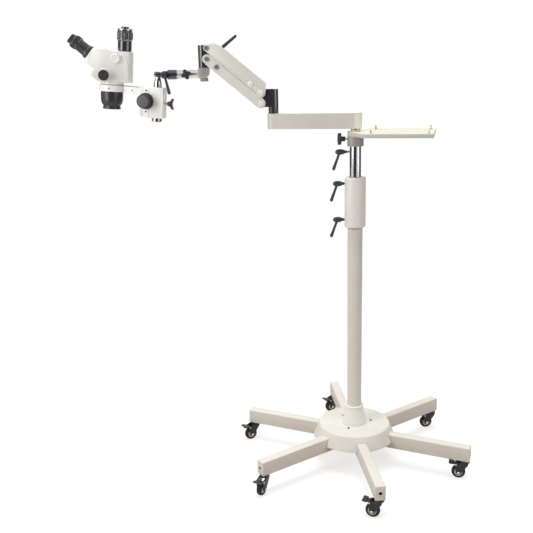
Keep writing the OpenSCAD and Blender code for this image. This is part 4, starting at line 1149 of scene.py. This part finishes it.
# %% Boom casting
def stadium(length, radius, steps=24):
    """The outline of two half circles with straight sides between them."""
    ends = []
    for centre, start in ((length, -90), (0, 90)):
        for k in range(steps + 1):
            a = math.radians(start + 180 * k / steps)
            ends.append((centre + radius * math.cos(a), radius * math.sin(a)))
    return ends


def prism(outline, low, high):
    """Stand an outline of (x, y) points up from z = low to z = high."""
    bm = bmesh.new()
    foot = [bm.verts.new((x, y, low)) for x, y in outline]
    head = [bm.verts.new((x, y, high)) for x, y in outline]
    for k in range(len(outline)):
        n = (k + 1) % len(outline)
        bm.faces.new((foot[k], foot[n], head[n], head[k]))
    bm.faces.new(list(reversed(foot)))
    bm.faces.new(head)
    return bm


BOOM_HALF = 25.0
CAP_PROUD, CAP_MARGIN = 0.3, 2.5
boom = ease(prism(stadium(BOOM_REACH, BOOM_HALF), BOOM_FOOT, BOOM_TOP), 4.5, segments=5, angle=60)
keep(boom, "boom_casting", "boom", cast_enamel, boom_place, stands_for=("boom_arm",))
round_end = [p for p in stadium(0, BOOM_HALF + CAP_PROUD) if p[0] <= 0.01]
end_cap = ease(prism(round_end, BOOM_FOOT + CAP_MARGIN, BOOM_TOP - CAP_MARGIN), 2.4, segments=4, angle=60)
keep(end_cap, "boom_end_cap", "boom", end_cap_cream, boom_place)

# %% [markdown]
# The boom turns on a thrust bearing: a washer on the mast, and over it a brass cage with dark
# rollers. The stack is turned, and the rollers are the rib tree again with fewer, wider ribs.

# %% Bearing under the boom
WASHER_TALL = 4.0
CAGE_GAP = 0.2
CAGE_LOW, CAGE_HIGH = MAST_TOP + WASHER_TALL + CAGE_GAP, BOOM_FOOT - CAGE_GAP
refinish("boom_spindle", turned_steel)
washer = turned(ring(14.1, 19.2, MAST_TOP, MAST_TOP + WASHER_TALL), 0.4, closed=True)
keep(washer, "thrust_washer", "boom", light_enamel)
cage = turned(ring(16.6, 18, CAGE_LOW, CAGE_HIGH), 0.3, closed=True)
keep(cage, "bearing_cage", "boom", turned_brass)
rollers = ribs(10, 17.6, 5.6, 1.8, 5.4, black_enamel)
keep(rollers, "bearing_rollers", "boom", black_enamel, move(0, 0, MAST_TOP + 7.6))

# %% [markdown]
# ## Elbow and wrist
# The two posts are black castings that keep their CAD shape with eased edges. A round pin in
# Blender is a ring of flats. The flats of the wrist's pin would cut the flats of its bore as it
# turns, so the pin runs a little slack and the foot beside it is lifted off the block.

# %% Posts
WRIST_FOOT = SWIVEL_FOOT + SWIVEL_TALL
PIN_R, PIN_SLACK, FOOT_LIFT = 9.0, 0.3, 0.15
POST_EASE = {"width": 1.4, "angle": 40}
eased_node("elbow_post", "elbow", black_enamel, "black_metal", place=elbow_place, **POST_EASE)
post = solid_copy("wrist_post", wrist_place)
for v in post.verts:
    if v.co.z > WRIST_FOOT + 0.05:
        continue
    if math.hypot(v.co.x, v.co.y) < PIN_R + 0.1:
        v.co.xy *= 1 - PIN_SLACK / PIN_R
    else:
        v.co.z += FOOT_LIFT
keep(ease(post, **POST_EASE), "eased_wrist_post", "wrist", black_enamel, wrist_place,
     stands_for=("wrist_post",))

# %% [markdown]
# ## Links
# Two pressed channels run one inside the other between the posts. Their folded corners have a
# bend radius, so only the long outer edges get a wide bevel, and the cut edges a fine one. The
# pick function finds them by how far they lie from the middle.

# %% Channels
UPPER_HALF, LOWER_HALF = 25.0, 22.7


def channel(name, place, half):
    def outer(p):
        return abs(p.y) > half - 0.1

    bm = solid_copy(name, place)
    ease(bm, 2.6, segments=4, angle=60, shortest=120.0, pick=outer)
    ease(bm, 0.45, segments=2, angle=60, pick=outer)
    keep(bm, "channel_" + name, name, link_enamel, place, stands_for=(name,))


channel("upper_link", upper_place, UPPER_HALF)
channel("lower_link", lower_place, LOWER_HALF)

# %% [markdown]
# White caps cover the pivots at the elbow and the spring's upper anchor. Grey bolts show at the
# wrist end. They repeat on both sides of both links, so the fastener tree sets them out, and
# steel pins run through behind them.

# %% Caps, bolts and pins of the links
UPPER_ANCHOR, LOWER_ANCHOR = 52.0, 222.0


def link_spots(along, half):
    return [spot for t in along for spot in on_both_sides(t, half, 0)]


def link_fittings(name, place, half, anchor_caps, bolts_at):
    set_out(cap(11, 4.5), link_spots([0.0], half), name + "_pivot_caps", name, cap_white,
            place, stands_for=(name + "_pins",))
    if anchor_caps:
        set_out(cap(9.5, 4.5), link_spots(anchor_caps, half), name + "_anchor_caps", name, cap_white,
                place)
    set_out(socket_head(9.5, 4.0, 3.4), link_spots(bolts_at, half), name + "_grey_bolts", name,
            bolt_grey, place)
    pins = [(turned(bar(6, -half, half), 0.3, steps=32), move(t) @ ALONG_Y) for t in (0, LINK)]
    pin_name = name.replace("link", "pivot_pins")
    keep(joined(*pins), pin_name, name, turned_steel, place)


link_fittings("upper_link", upper_place, UPPER_HALF, [UPPER_ANCHOR], [LINK])
link_fittings("lower_link", lower_place, LOWER_HALF, [], [LINK, LOWER_ANCHOR])

# %% [markdown]
# The balance spring is a tight coil that is only glimpsed from below. A coil is a rule, so its
# wire is swept along a helix between the two anchors. The lower anchor is on the lower link, so
# its place is worked out from the gap between the links.

# %% Balance spring
COIL_TURNS, COIL_R, WIRE_R = 30, 6.6, 1.35
TURN_STEPS = 14
HOOK = 10.0
rise = math.radians(RISE)
anchor_a = Vector((UPPER_ANCHOR, 0, 0))
anchor_b = Vector((LOWER_ANCHOR - PIVOT_GAP * math.sin(rise), 0, -PIVOT_GAP * math.cos(rise)))
span = anchor_b - anchor_a
coil = [((0, 0, 0), WIRE_R)]
for k in range(COIL_TURNS * TURN_STEPS + 1):
    t = k / (COIL_TURNS * TURN_STEPS)
    a = 2 * math.pi * COIL_TURNS * t
    height = HOOK + t * (span.length - 2 * HOOK)
    coil.append(((COIL_R * math.cos(a), COIL_R * math.sin(a), height), WIRE_R))
coil.append(((0, 0, span.length), WIRE_R))
along_span = span.to_track_quat("Z", "Y").to_matrix().to_4x4()
keep(joined((swept(coil, 8), move(*anchor_a) @ along_span)), "balance_coil", "upper_link", turned_steel,
     upper_place, stands_for=("balance_spring",))
print("spring", round(span.length, 1), "mm between its anchors")

# %% [markdown]
# A straight handle stands on the upper link and locks the arm's height. It is the lever's handle
# without the flare, on a small turned foot, leaning a little towards the elbow.

# %% Lock handle
LOCK_AT, LOCK_LEAN = (224.0, 0.0, 41.5), -12.0
lock_foot = turned([(0, 0), (6.5, 0), (6.5, 4), (5, 7), (0, 7)], 0.8)
lock_grip = handle(66, start=6.6, waist=6.0, tip=5.4)
keep(joined((lock_foot, Matrix()), (lock_grip, move(0, 0, 4))), "lock_handle_grip", "lock_handle",
     black_moulding, upper_place @ move(*LOCK_AT) @ turn(LOCK_LEAN, "Y"),
     stands_for=("arm_lock_handle",))

# %% [markdown]
# ## Swivel and roll shaft
# A block of machined aluminium turns under the wrist post, held by a knurled nut. Its sleeve
# grips a steel shaft, which ends in a black barrel with two ears. The block and the barrel are
# eased copies; the nut is turned, and its knurl is a band of close ribs.

# %% Swivel, nut and barrel
NUT_R, NUT_TALL = 15.0, 13.0
BRIGHT_LOW, BRIGHT_HIGH = 104.3, 106.9
ROLL_KNOB_AT, ROLL_KNOB_SPIN = (68.0, 15.5, 0.0), 20.0
eased_node("swivel_block", "swivel", machined_aluminium, "aluminium", 1.2, wrist_place, angle=40)
nut_body = turned([(0, 0), (NUT_R - 1, 0), (NUT_R, 1.5), (NUT_R, NUT_TALL - 1), (NUT_R - 1, NUT_TALL),
                   (0, NUT_TALL)], 0.6)
knurl = ribs(36, NUT_R, 1.2, 1.0, 9, bolt_grey)
keep(joined((nut_body, Matrix()), (knurl, move(0, 0, NUT_TALL / 2))), "knurled_nut", "wrist", bolt_grey,
     wrist_place @ move(0, 0, SWIVEL_FOOT - NUT_TALL), stands_for=("swivel_nut",))
refinish("roll_shaft", turned_steel)
eased_node("clamp_barrel", "roll", black_enamel, "black_metal", 0.9, roll_place, angle=40)
bright = turned(ring(12.2, 17.6, BRIGHT_LOW, BRIGHT_HIGH), 0.4, closed=True)
keep(joined((bright, ALONG_X)), "bright_ring", "roll", turned_steel, roll_place)
knob_place = roll_place @ move(*ROLL_KNOB_AT) @ turn(90, "Z") @ turn(ROLL_KNOB_SPIN, "X")
star_knob("roll_star_knob", "roll_knob", knob_place, neck=9, lobes=4, outer=20, inner=12.5, height=13)

# %% [markdown]
# ## Tilt clamp and drop rod
# A lever through the barrel's ears sets the tilt of the head. It is built like the clamp levers,
# with the same handle on a stepped hub, and the head of its bolt shows on the far side.

# %% Tilt lever
EAR_FACE = 15.9
TILT_HANDLE_AT, TILT_HANDLE_LEAN = (-5.0, 38.0, 0.0), 192.0
tilt_hub = turned([(0, EAR_FACE), (11, EAR_FACE), (12, 17), (12, 28), (9.5, 30), (7.5, 31), (7.5, 43),
                   (0, 43.5)], 1.0)
tilt_handle = handle(LEVER_LONG)
tilt = joined((tilt_hub, ALONG_Y), (tilt_handle, move(*TILT_HANDLE_AT) @ turn(TILT_HANDLE_LEAN, "Y")))
keep(tilt, "tilt_lever", "clamp_lever", black_moulding, tilt_place,
     stands_for=("clamp_lever",))
tilt_bolt = joined((turned(bar(5, -16, 17), 0.2, steps=32), ALONG_Y),
                   (socket_head(8.5, 5.5, 4.0), move(0, -EAR_FACE, 0) @ outwards(-1)))
keep(tilt_bolt, "tilt_bolt", "clamp_lever", turned_steel, tilt_place)

# %% [markdown]
# From the barrel a cross pin carries a chromed rod, tapered at its head. A dark ring with a set
# screw near its foot stops the mount from sliding off. Rod and ring are turned, and the pin is an
# eased copy with a bright turned tip.

# %% Drop rod
ROD_R, ROD_FOOT = 16.0, -184.0
STOP_LOW, STOP_HIGH = -181.0, -171.0
eased_node("drop_pin", "drop", black_enamel, "black_metal", 0.8, drop_place, angle=40)
rod = turned([(0, ROD_FOOT), (ROD_R - 1, ROD_FOOT), (ROD_R, ROD_FOOT + 1), (ROD_R, -36), (9.2, -9), (0, -8)],
             1.0)
pin_tip = turned([(0, 9.5), (9.5, 9.5), (9.5, 15), (8.5, 16), (0, 16)], 0.5)
keep(joined((rod, Matrix()), (pin_tip, ALONG_X)), "chrome_drop_rod", "drop", polished_chrome,
     drop_place, stands_for=("drop_rod",))
stop_band = turned(ring(ROD_R + 0.05, 20, STOP_LOW, STOP_HIGH), 0.9, closed=True)
stop_screw = socket_head(3.4, 5, 1.8)
screw_place = move(0, 19, (STOP_LOW + STOP_HIGH) / 2) @ outwards(1)
keep(joined((stop_band, Matrix()), (stop_screw, screw_place)), "stop_ring", "drop", dark_chrome,
     drop_place)

# %% [markdown]
# ## Focus mount
# A block clamps on the rod, and a carriage with a bar and a ring slides on its face. Both are
# castings with generous fillets, so their copies get wide bevels on the long edges only; the
# small holes stay crisp.

# %% Castings of the focus mount
FOCUS_X, FOCUS_Z = 39.0, -104.0
BLOCK_BACK, BLOCK_HALF = 31.0, 24.0
CARRIAGE_FACE, CARRIAGE_HALF = 67.2, 20.0
BAR_HALF, BAR_TOP = 12.0, -51.0
RING_R = 50.0
eased_node("focus_block", "focus", mount_enamel, "mount_paint", 2.6, focus_place, segments=4, angle=60,
           shortest=30.0)
eased_node("head_arm", "carriage", mount_enamel, "mount_paint", 2.0, focus_place, segments=3, angle=60,
           shortest=8.0)

# %% [markdown]
# Screws show on the carriage's face, round the ring and on the block's sides. Each set is a list
# of points with the way they face, and the fastener tree does the rest.

# %% Screws of the focus mount
CARRIAGE_SCREWS_Y, CARRIAGE_SCREWS_Z = (-12, 12), (-102, -154)
RING_SCREWS, RING_SCREW_Z = (96, -96, 0), -65.0
BAR_SCREW_X, BAR_SCREW_Z = 101.0, -67.0
BLOCK_SCREW_LIFTS = (-41, 41)
carriage_spots = []
for y in CARRIAGE_SCREWS_Y:
    for z in CARRIAGE_SCREWS_Z:
        carriage_spots.append((Vector((CARRIAGE_FACE, y, z)), OUT))
set_out(socket_head(3.6, 2.4, 1.7), carriage_spots, "carriage_screws", "carriage", turned_steel,
        focus_place)
ring_spots = []
for bearing in RING_SCREWS:
    way = turn(bearing, "Z") @ OUT
    ring_spots.append((Vector((HEAD_OUT, 0, RING_SCREW_Z)) + RING_R * way, way))
ring_spots += on_both_sides(BAR_SCREW_X, BAR_HALF, BAR_SCREW_Z)
set_out(socket_head(2.7, 0.9, 1.4), ring_spots, "ring_set_screws", "carriage", black_enamel,
        focus_place)
block_spots = []
for lift in BLOCK_SCREW_LIFTS:
    block_spots += on_both_sides(FOCUS_X, BLOCK_HALF, FOCUS_Z + lift)
set_out(socket_head(3.6, 1.4, 1.7), block_spots, "block_screws", "focus", black_enamel,
        focus_place)

# %% [markdown]
# Thin dark lines mark where the slide's parts meet, and a dark line runs along each top edge of the
# bar. They could be cut as grooves, but at this size a groove is only its shadow, so each line is a
# strip that stands a hair proud of the face.

# %% Lines of the slide
LINE_SINK, LINE_PROUD, LINE_HALF = 1.0, 0.15, 0.8
BLOCK_LINE, CARRIAGE_LINE = 28.0, 57.0
MOUNT_FOOT, BLOCK_LINE_TOP, CARRIAGE_LINE_TOP = -166.0, -54.0, -84.0
BAR_START, BAR_STOP = 67.5, 150.0


def side_lines(start, stop, half, low, high):
    """A strip on both sides between two places along the arm and two heights."""
    lines = []
    for side in (-1, 1):
        inner, outer = side * (half - LINE_SINK), side * (half + LINE_PROUD)
        plan = [(start, inner), (stop, inner), (stop, outer), (start, outer)]
        lines.append((prism(plan, low, high), Matrix()))
    return joined(*lines)


block_lines = side_lines(BLOCK_LINE - LINE_HALF, BLOCK_LINE + LINE_HALF, BLOCK_HALF, MOUNT_FOOT,
                         BLOCK_LINE_TOP)
keep(block_lines, "block_slot_lines", "focus", seam_and_shadow_grey, focus_place)
carriage_lines = side_lines(CARRIAGE_LINE - LINE_HALF, CARRIAGE_LINE + LINE_HALF, CARRIAGE_HALF,
                            MOUNT_FOOT, CARRIAGE_LINE_TOP)
keep(carriage_lines, "carriage_slot_lines", "carriage", seam_and_shadow_grey, focus_place)
# A dark strip along each top edge of the bar.
bar_lines = side_lines(BAR_START, BAR_STOP, BAR_HALF, BAR_TOP - 3.4, BAR_TOP - 0.4)
keep(bar_lines, "bar_top_lines", "carriage", seam_and_shadow_grey, focus_place)


# %% [markdown]
# ### Knobs of the focus mount
# The focus knobs are stepped drums with ribbed rims and a paler, duller face. One side is turned
# and laid outwards, and the other is the same turned shape laid the other way, so the pair can't
# come apart.

# %% Focus knobs
def focus_grip(side):
    body = turned([(0, 24.4), (31, 24.4), (31, 36), (26, 36.5), (26, 61.5), (24.5, 62), (12, 62), (10, 61),
                   (0, 61)], 1.0)
    grip = ribs(60, 26.0, 1.7, 1.4, 21, black_moulding)
    step = ribs(72, 31.0, 1.6, 1.2, 8, black_moulding)
    way = outwards(side)
    return joined((body, way), (grip, way @ move(0, 0, 49)), (step, way @ move(0, 0, 30)))


def focus_face(side):
    face = turned([(0, 60), (22.5, 60), (22.5, 62.2), (21.6, 62.6), (0, 62.9)], 0.4)
    return joined((face, outwards(side)))


def pair(make):
    """The near and the far one of something that is made for a side."""
    return joined((make(1), Matrix()), (make(-1), Matrix()))


axle_place = focus_place @ move(FOCUS_X, 0, FOCUS_Z)
keep(pair(focus_grip), "focus_knob_pair", "focus_knobs", black_moulding, axle_place,
     stands_for=("focus_knobs",))
keep(pair(focus_face), "focus_knob_faces", "focus_knobs", knob_face, axle_place)

# %% [markdown]
# The wing knob behind the block clamps it on the rod. Half its plan is written and mirrored, the
# plan is stood up as a prism and its edges are eased, and a turned hub goes through it.

# %% Wing knob
wing_place = focus_place @ move(-BLOCK_BACK, 0, FOCUS_Z - 6) @ turn(180, "Z")
wing_half = [(13, 8), (20, 9.5), (24, 14), (29, 21), (34, 22), (36, 18), (33, 9), (31, 5)]
wing_plan = wing_half + [(x, -y) for x, y in reversed(wing_half)]
wing = ease(prism(wing_plan, -4, 4), 2.2, segments=3, angle=40)
wing_hub = turned([(0, 11), (8, 11), (9, 12.5), (9, 27), (7, 30), (0, 30)], 1.0)
keep(joined((wing, turn(90, "X")), (wing_hub, ALONG_X)), "wing_knob", "focus_wing", black_moulding,
     wing_place, stands_for=("focus_wing",))
wing_stud = turned(bar(4, -6, 13), 0.3, steps=32)
keep(joined((wing_stud, ALONG_X)), "wing_stud", "focus_wing", turned_steel, wing_place)

# %% [markdown]
# ## Head
# The housing is a die casting: seen from the side it has one outline, and seen from above it
# swells from its round back to the shoulders. A sculpted mesh could follow that freely. Here the
# side outline is stood up as a prism, cut where the width changes, and widened point by point,
# which keeps every face flat. A bevel along its outline then gives the soft, cast look.

# %% Outline of the housing
HEAD_TOP = 119.0
PHOTO_BACK, BACK_R = 47.0, 34.0
EYE_RISE = 36.0
SEAT = Vector((87.5, 104.0))
SEAT_WAY = Vector((-math.sin(math.radians(EYE_RISE)), math.cos(math.radians(EYE_RISE))))
SEAT_DOWN, SEAT_UP = 33.0, 27.0
seat_low, seat_high = SEAT - SEAT_DOWN * SEAT_WAY, SEAT + SEAT_UP * SEAT_WAY
WAIST, SHOULDER, BROW = 20.0, seat_low.x - 20, seat_low.x
WIDTHS = [(-PHOTO_BACK, BACK_R), (WAIST, 47), (SHOULDER, 52), (BROW, 46)]
housing_side = [(-PHOTO_BACK, 0), (44, 0), (58, 4.5), (76, 17), (82, 28), (79, 38.5), (69, 47),
                tuple(seat_low), tuple(seat_high), (55, HEAD_TOP + 8), (20, HEAD_TOP + 4.5),
                (-2, HEAD_TOP + 2), (28 - PHOTO_BACK, HEAD_TOP), (-PHOTO_BACK, HEAD_TOP)]


def half_width(x):
    """Half the housing's width at a place along it."""
    for (x0, w0), (x1, w1) in zip(WIDTHS, WIDTHS[1:]):
        if x <= x1:
            return w0 + (w1 - w0) * (x - x0) / (x1 - x0)
    return WIDTHS[-1][1]


print("the housing is", 2 * half_width(SHOULDER), "mm wide at its shoulders")

# %% Housing and rear cover
housing = prism(housing_side, -1, 1)
for cut_at in (WAIST, SHOULDER):
    bmesh.ops.bisect_plane(housing, geom=[*housing.verts, *housing.edges, *housing.faces],
                           plane_co=(cut_at, 0, 0), plane_no=(1, 0, 0))
for v in housing.verts:
    v.co.z = math.copysign(half_width(v.co.x), v.co.z)
ease(housing, 3.6, segments=4, angle=50, pick=lambda p: p.x > 1 - PHOTO_BACK)
housing.transform(turn(90, "X"))
keep(housing, "head_housing", "head", head_enamel, head_place, stands_for=("head_body",),
     smooth=50)
rear = turned(bar(BACK_R, 0, HEAD_TOP), 2.5, steps=96)
keep(rear, "rear_cover", "head", head_enamel, head_place @ move(-PHOTO_BACK),
     stands_for=("head_rear_cover",))

# %% [markdown]
# A raised rib runs over each side of the housing, from the foot of the photo tube in an arc to
# the lower back. A Shrinkwrap modifier could press a strip on the side. Here that surface is
# written as a function of x, and the strip asks it for every point, so the rib stands equally
# proud all along.

# %% Ribs on the sides of the head
RIB_CENTRE = Vector((-22, 30))
RIB_ACROSS, RIB_UP = 43.5, 84.0
RIB_HALF, RIB_PROUD, RIB_SINK, RIB_EDGE = 4.4, 1.2, 2.0, 1.2


def side_surface(x):
    """How far the head's side lies from its middle, on the rear cover too."""
    if x < -PHOTO_BACK:
        return math.sqrt(max(0.0, BACK_R ** 2 - (x + PHOTO_BACK) ** 2))
    return half_width(x)


def rib_path():
    path = []
    for degrees in range(20, 91, 5):
        t = math.radians(degrees)
        path.append(RIB_CENTRE + Vector((-RIB_ACROSS * math.sin(t), RIB_UP * math.cos(t))))
    return path + [Vector((path[-1].x, z)) for z in (20, 10, 3)]


def side_rib(side):
    path = rib_path()
    crest = [(-RIB_HALF, -RIB_SINK), (-RIB_HALF, RIB_PROUD * 0.4), (RIB_EDGE - RIB_HALF, RIB_PROUD)]
    section = crest + [(-across, lift) for across, lift in reversed(crest)]
    bm = bmesh.new()
    loops = []
    for i, p in enumerate(path):
        way = (path[min(i + 1, len(path) - 1)] - path[max(i - 1, 0)]).normalized()
        across_way = Vector((-way.y, way.x))
        loop = []
        for across, lift in section:
            q = p + across * across_way
            loop.append(bm.verts.new((q.x, side * (side_surface(q.x) + lift), q.y)))
        loops.append(loop)
    for low, high in zip(loops, loops[1:]):
        for k in range(len(section)):
            n = (k + 1) % len(section)
            bm.faces.new((low[k], low[n], high[n], high[k]))
    bm.faces.new(loops[0])
    bm.faces.new(list(reversed(loops[-1])))
    return bm


keep(pair(side_rib), "head_side_ribs", "head", head_enamel, head_place)

# %% [markdown]
# Under the housing a flange sits on the mount's ring, and a grey neck goes down through it; its
# dark band just under the flange is a painted shadow gap between flange and ring. On each side a
# round boss carries the zoom knob, and a shallow cap with a dished face sits higher up. They are
# all turned, and the side ones are made for both sides at once.

# %% Flange, neck, bosses and side caps
ZOOM = (31.0, 0.0, 25.5)
SIDE_CAP = (-12.0, 0.0, 91.0)
NECK_R = 38.0
flange = turned([(0, 6), (46, 6), (46, -8.5), (NECK_R, -8.5), (0, -8.5)], 1.0, steps=96)
keep(flange, "head_flange", "head", head_enamel, head_place)
# Painted shadow: the dark band between the flange and the ring stands for the shadow gap under the flange.
neck = turned([(0, -8), (44.5, -8), (44.5, -11.8), (NECK_R, -11.8), (NECK_R, -38), (31, -38), (31, -20),
               (0, -20)], 0.4, steps=96)
keep(neck, "head_neck", "head", seam_and_shadow_grey, head_place)


def side_bosses(side):
    boss = turned([(0, 30), (25, 30), (25, 48.6), (23.6, 50), (0, 50)], 1.0)
    dish = turned([(0, 30), (16.5, 30), (16.5, 44.0), (15.6, 45), (13.4, 45), (12.8, 44.4), (4.2, 44.4),
                   (3.4, 44.7), (0, 44.7)], 0.5)
    way = outwards(side)
    return joined((boss, move(*ZOOM) @ way), (dish, move(*SIDE_CAP) @ way))


keep(pair(side_bosses), "head_bosses", "head", head_enamel, head_place)


# %% [markdown]
# ### Zoom knobs
# A ribbed knob on each side turns the zoom. Both sit on one shaft and turn as one body, so both
# are one mesh: a turned drum with a dished face and a band of ribs.

# %% Zoom knobs
def zoom_grip(side):
    body = turned([(0, 50.4), (19.5, 50.4), (20.4, 51.5), (20.4, 65), (18.4, 67), (9, 67), (8, 66), (0, 66)],
                  0.8)
    grip = ribs(48, 20.2, 1.4, 1.2, 11, black_moulding)
    way = outwards(side)
    return joined((body, way), (grip, way @ move(0, 0, 58)))


keep(pair(zoom_grip), "zoom_knob_pair", "zoom_knobs", black_moulding,
     head_place @ move(*ZOOM), stands_for=("zoom_knobs",))

# %% [markdown]
# ### Objective
# The objective sits in a black cup that narrows to a rim, with a shallow lens in its mouth. The
# cup could be a tube with a Solidify modifier. One closed profile gives its wall, lip and bore
# together, and the lens is a second profile that fits inside.

# %% Objective cup and lens
RIM_R, LENS_R = 35.0, 29.9
cup = turned([(30, -38), (44, -38), (44, -54), (43, -72), (40.5, -82), (33.5, -92), (33.5, -97), (RIM_R, -97),
              (RIM_R, -105), (30.1, -105), (30.1, -92), (30, -80)], 1.0, closed=True, steps=96)
keep(cup, "objective_barrel", "head", barrel_anodised, head_place,
     stands_for=("objective_cup",))
lens = turned([(0, -100.5), (15, -101), (26, -99.5), (LENS_R, -98), (LENS_R, -96), (0, -96)], 0.4)
keep(lens, "front_lens", "head", coated_glass, head_place, stands_for=("objective_lens",))

# %% [markdown]
# ### Photo tube
# The upright third tube takes a camera: a glossy barrel that flares to a ribbed ring. Two bright
# steel bands paint highlights, one on the chamfer of the flare and one on the bevel of the rim.
# The barrel is one closed profile with its bore, and the ribs come from the rib tree.

# %% Photo tube
photo_place = head_place @ move(-PHOTO_BACK, 0, HEAD_TOP)
tube = turned([(11.6, 0), (26, 0), (26, 3), (27.5, 3.5), (27.5, 39), (30.2, 45.6), (30.4, 47), (30.4, 73),
               (28.7, 76), (28.7, 86), (20, 86.4), (14.8, 85.6), (14.8, 94), (11.6, 94)], 0.7, closed=True)
tube_grip = ribs(72, 30.2, 1.5, 1.2, 22, black_moulding)
keep(joined((tube, Matrix()), (tube_grip, move(0, 0, 60))), "photo_tube_barrel", "head", barrel_gloss,
     photo_place, stands_for=("photo_tube",))
# Painted highlights: bright steel bands where the flare's chamfer and the rim's bevel catch the light.
flare_highlight_band = turned([(27.3, 39.6), (29.6, 43.8), (29.0, 44.2), (26.7, 40.0)], 0.2, closed=True)
rim_highlight_band = turned([(28.3, 81), (29.0, 81.3), (29.0, 84), (28.3, 84.4)], 0.2, closed=True)
keep(joined((flare_highlight_band, Matrix()), (rim_highlight_band, Matrix())), "photo_tube_bands", "head", turned_steel,
     photo_place)

# %% [markdown]
# ### Eyepieces
# Two eyepieces rise from the sloping seat. Each has a waisted barrel with a ribbed dioptre ring,
# three thin bright rings, a soft rubber cup and a lens down in it. They are the same part twice,
# so one function makes an eyepiece for a side, and each rides on its own body.

# %% Eyepieces
EYE_HALF = 28.0
BRIGHT_RINGS = ((24.4, 12.6), (24.6, 52.6), (24.0, 74.6))


def eyepiece(word, side):
    place = head_place @ move(SEAT.x, EYE_HALF * side, SEAT.y) @ turn(90 - EYE_RISE, "Y")
    name = f"eyepiece_{word}"
    barrel = turned([(0, -16), (14, -16), (14, 0.4), (25, 0.4), (26, 1.5), (26, 11), (23, 15), (22, 22),
                     (21.5, 48), (25, 55.4), (25.4, 57), (25.4, 73), (22, 77), (18, 80), (18, 82), (0, 82)],
                    0.9)
    grip = ribs(56, 25.2, 1.5, 1.2, 12, black_moulding)
    keep(joined((barrel, Matrix()), (grip, move(0, 0, 65))), name + "_barrel", name, black_moulding,
         place, stands_for=(name,))
    bands = []
    for r, z in BRIGHT_RINGS:
        band = turned([(r - 1.5, 0), (r, 0.3), (r, 1.7), (r - 1.5, 2)], 0.2, closed=True)
        bands.append((band, move(0, 0, z)))
    keep(joined(*bands), name + "_rings", name, dark_chrome, place)
    rubber = turned([(13, 79), (18.2, 77), (18.6, 86), (18.2, 91), (17, 92), (15.2, 91.4), (13.4, 86)], 0.8,
                    closed=True)
    keep(rubber, f"eyecup_{word}", name, eyecup_rubber, place)
    eye = turned([(0, 84.2), (8, 83.6), (13.4, 82), (13.4, 79.5), (0, 79.5)], 0.3)
    keep(eye, f"eye_lens_{word}", name, coated_glass, place)


eyepiece("left", -1)
eyepiece("right", 1)
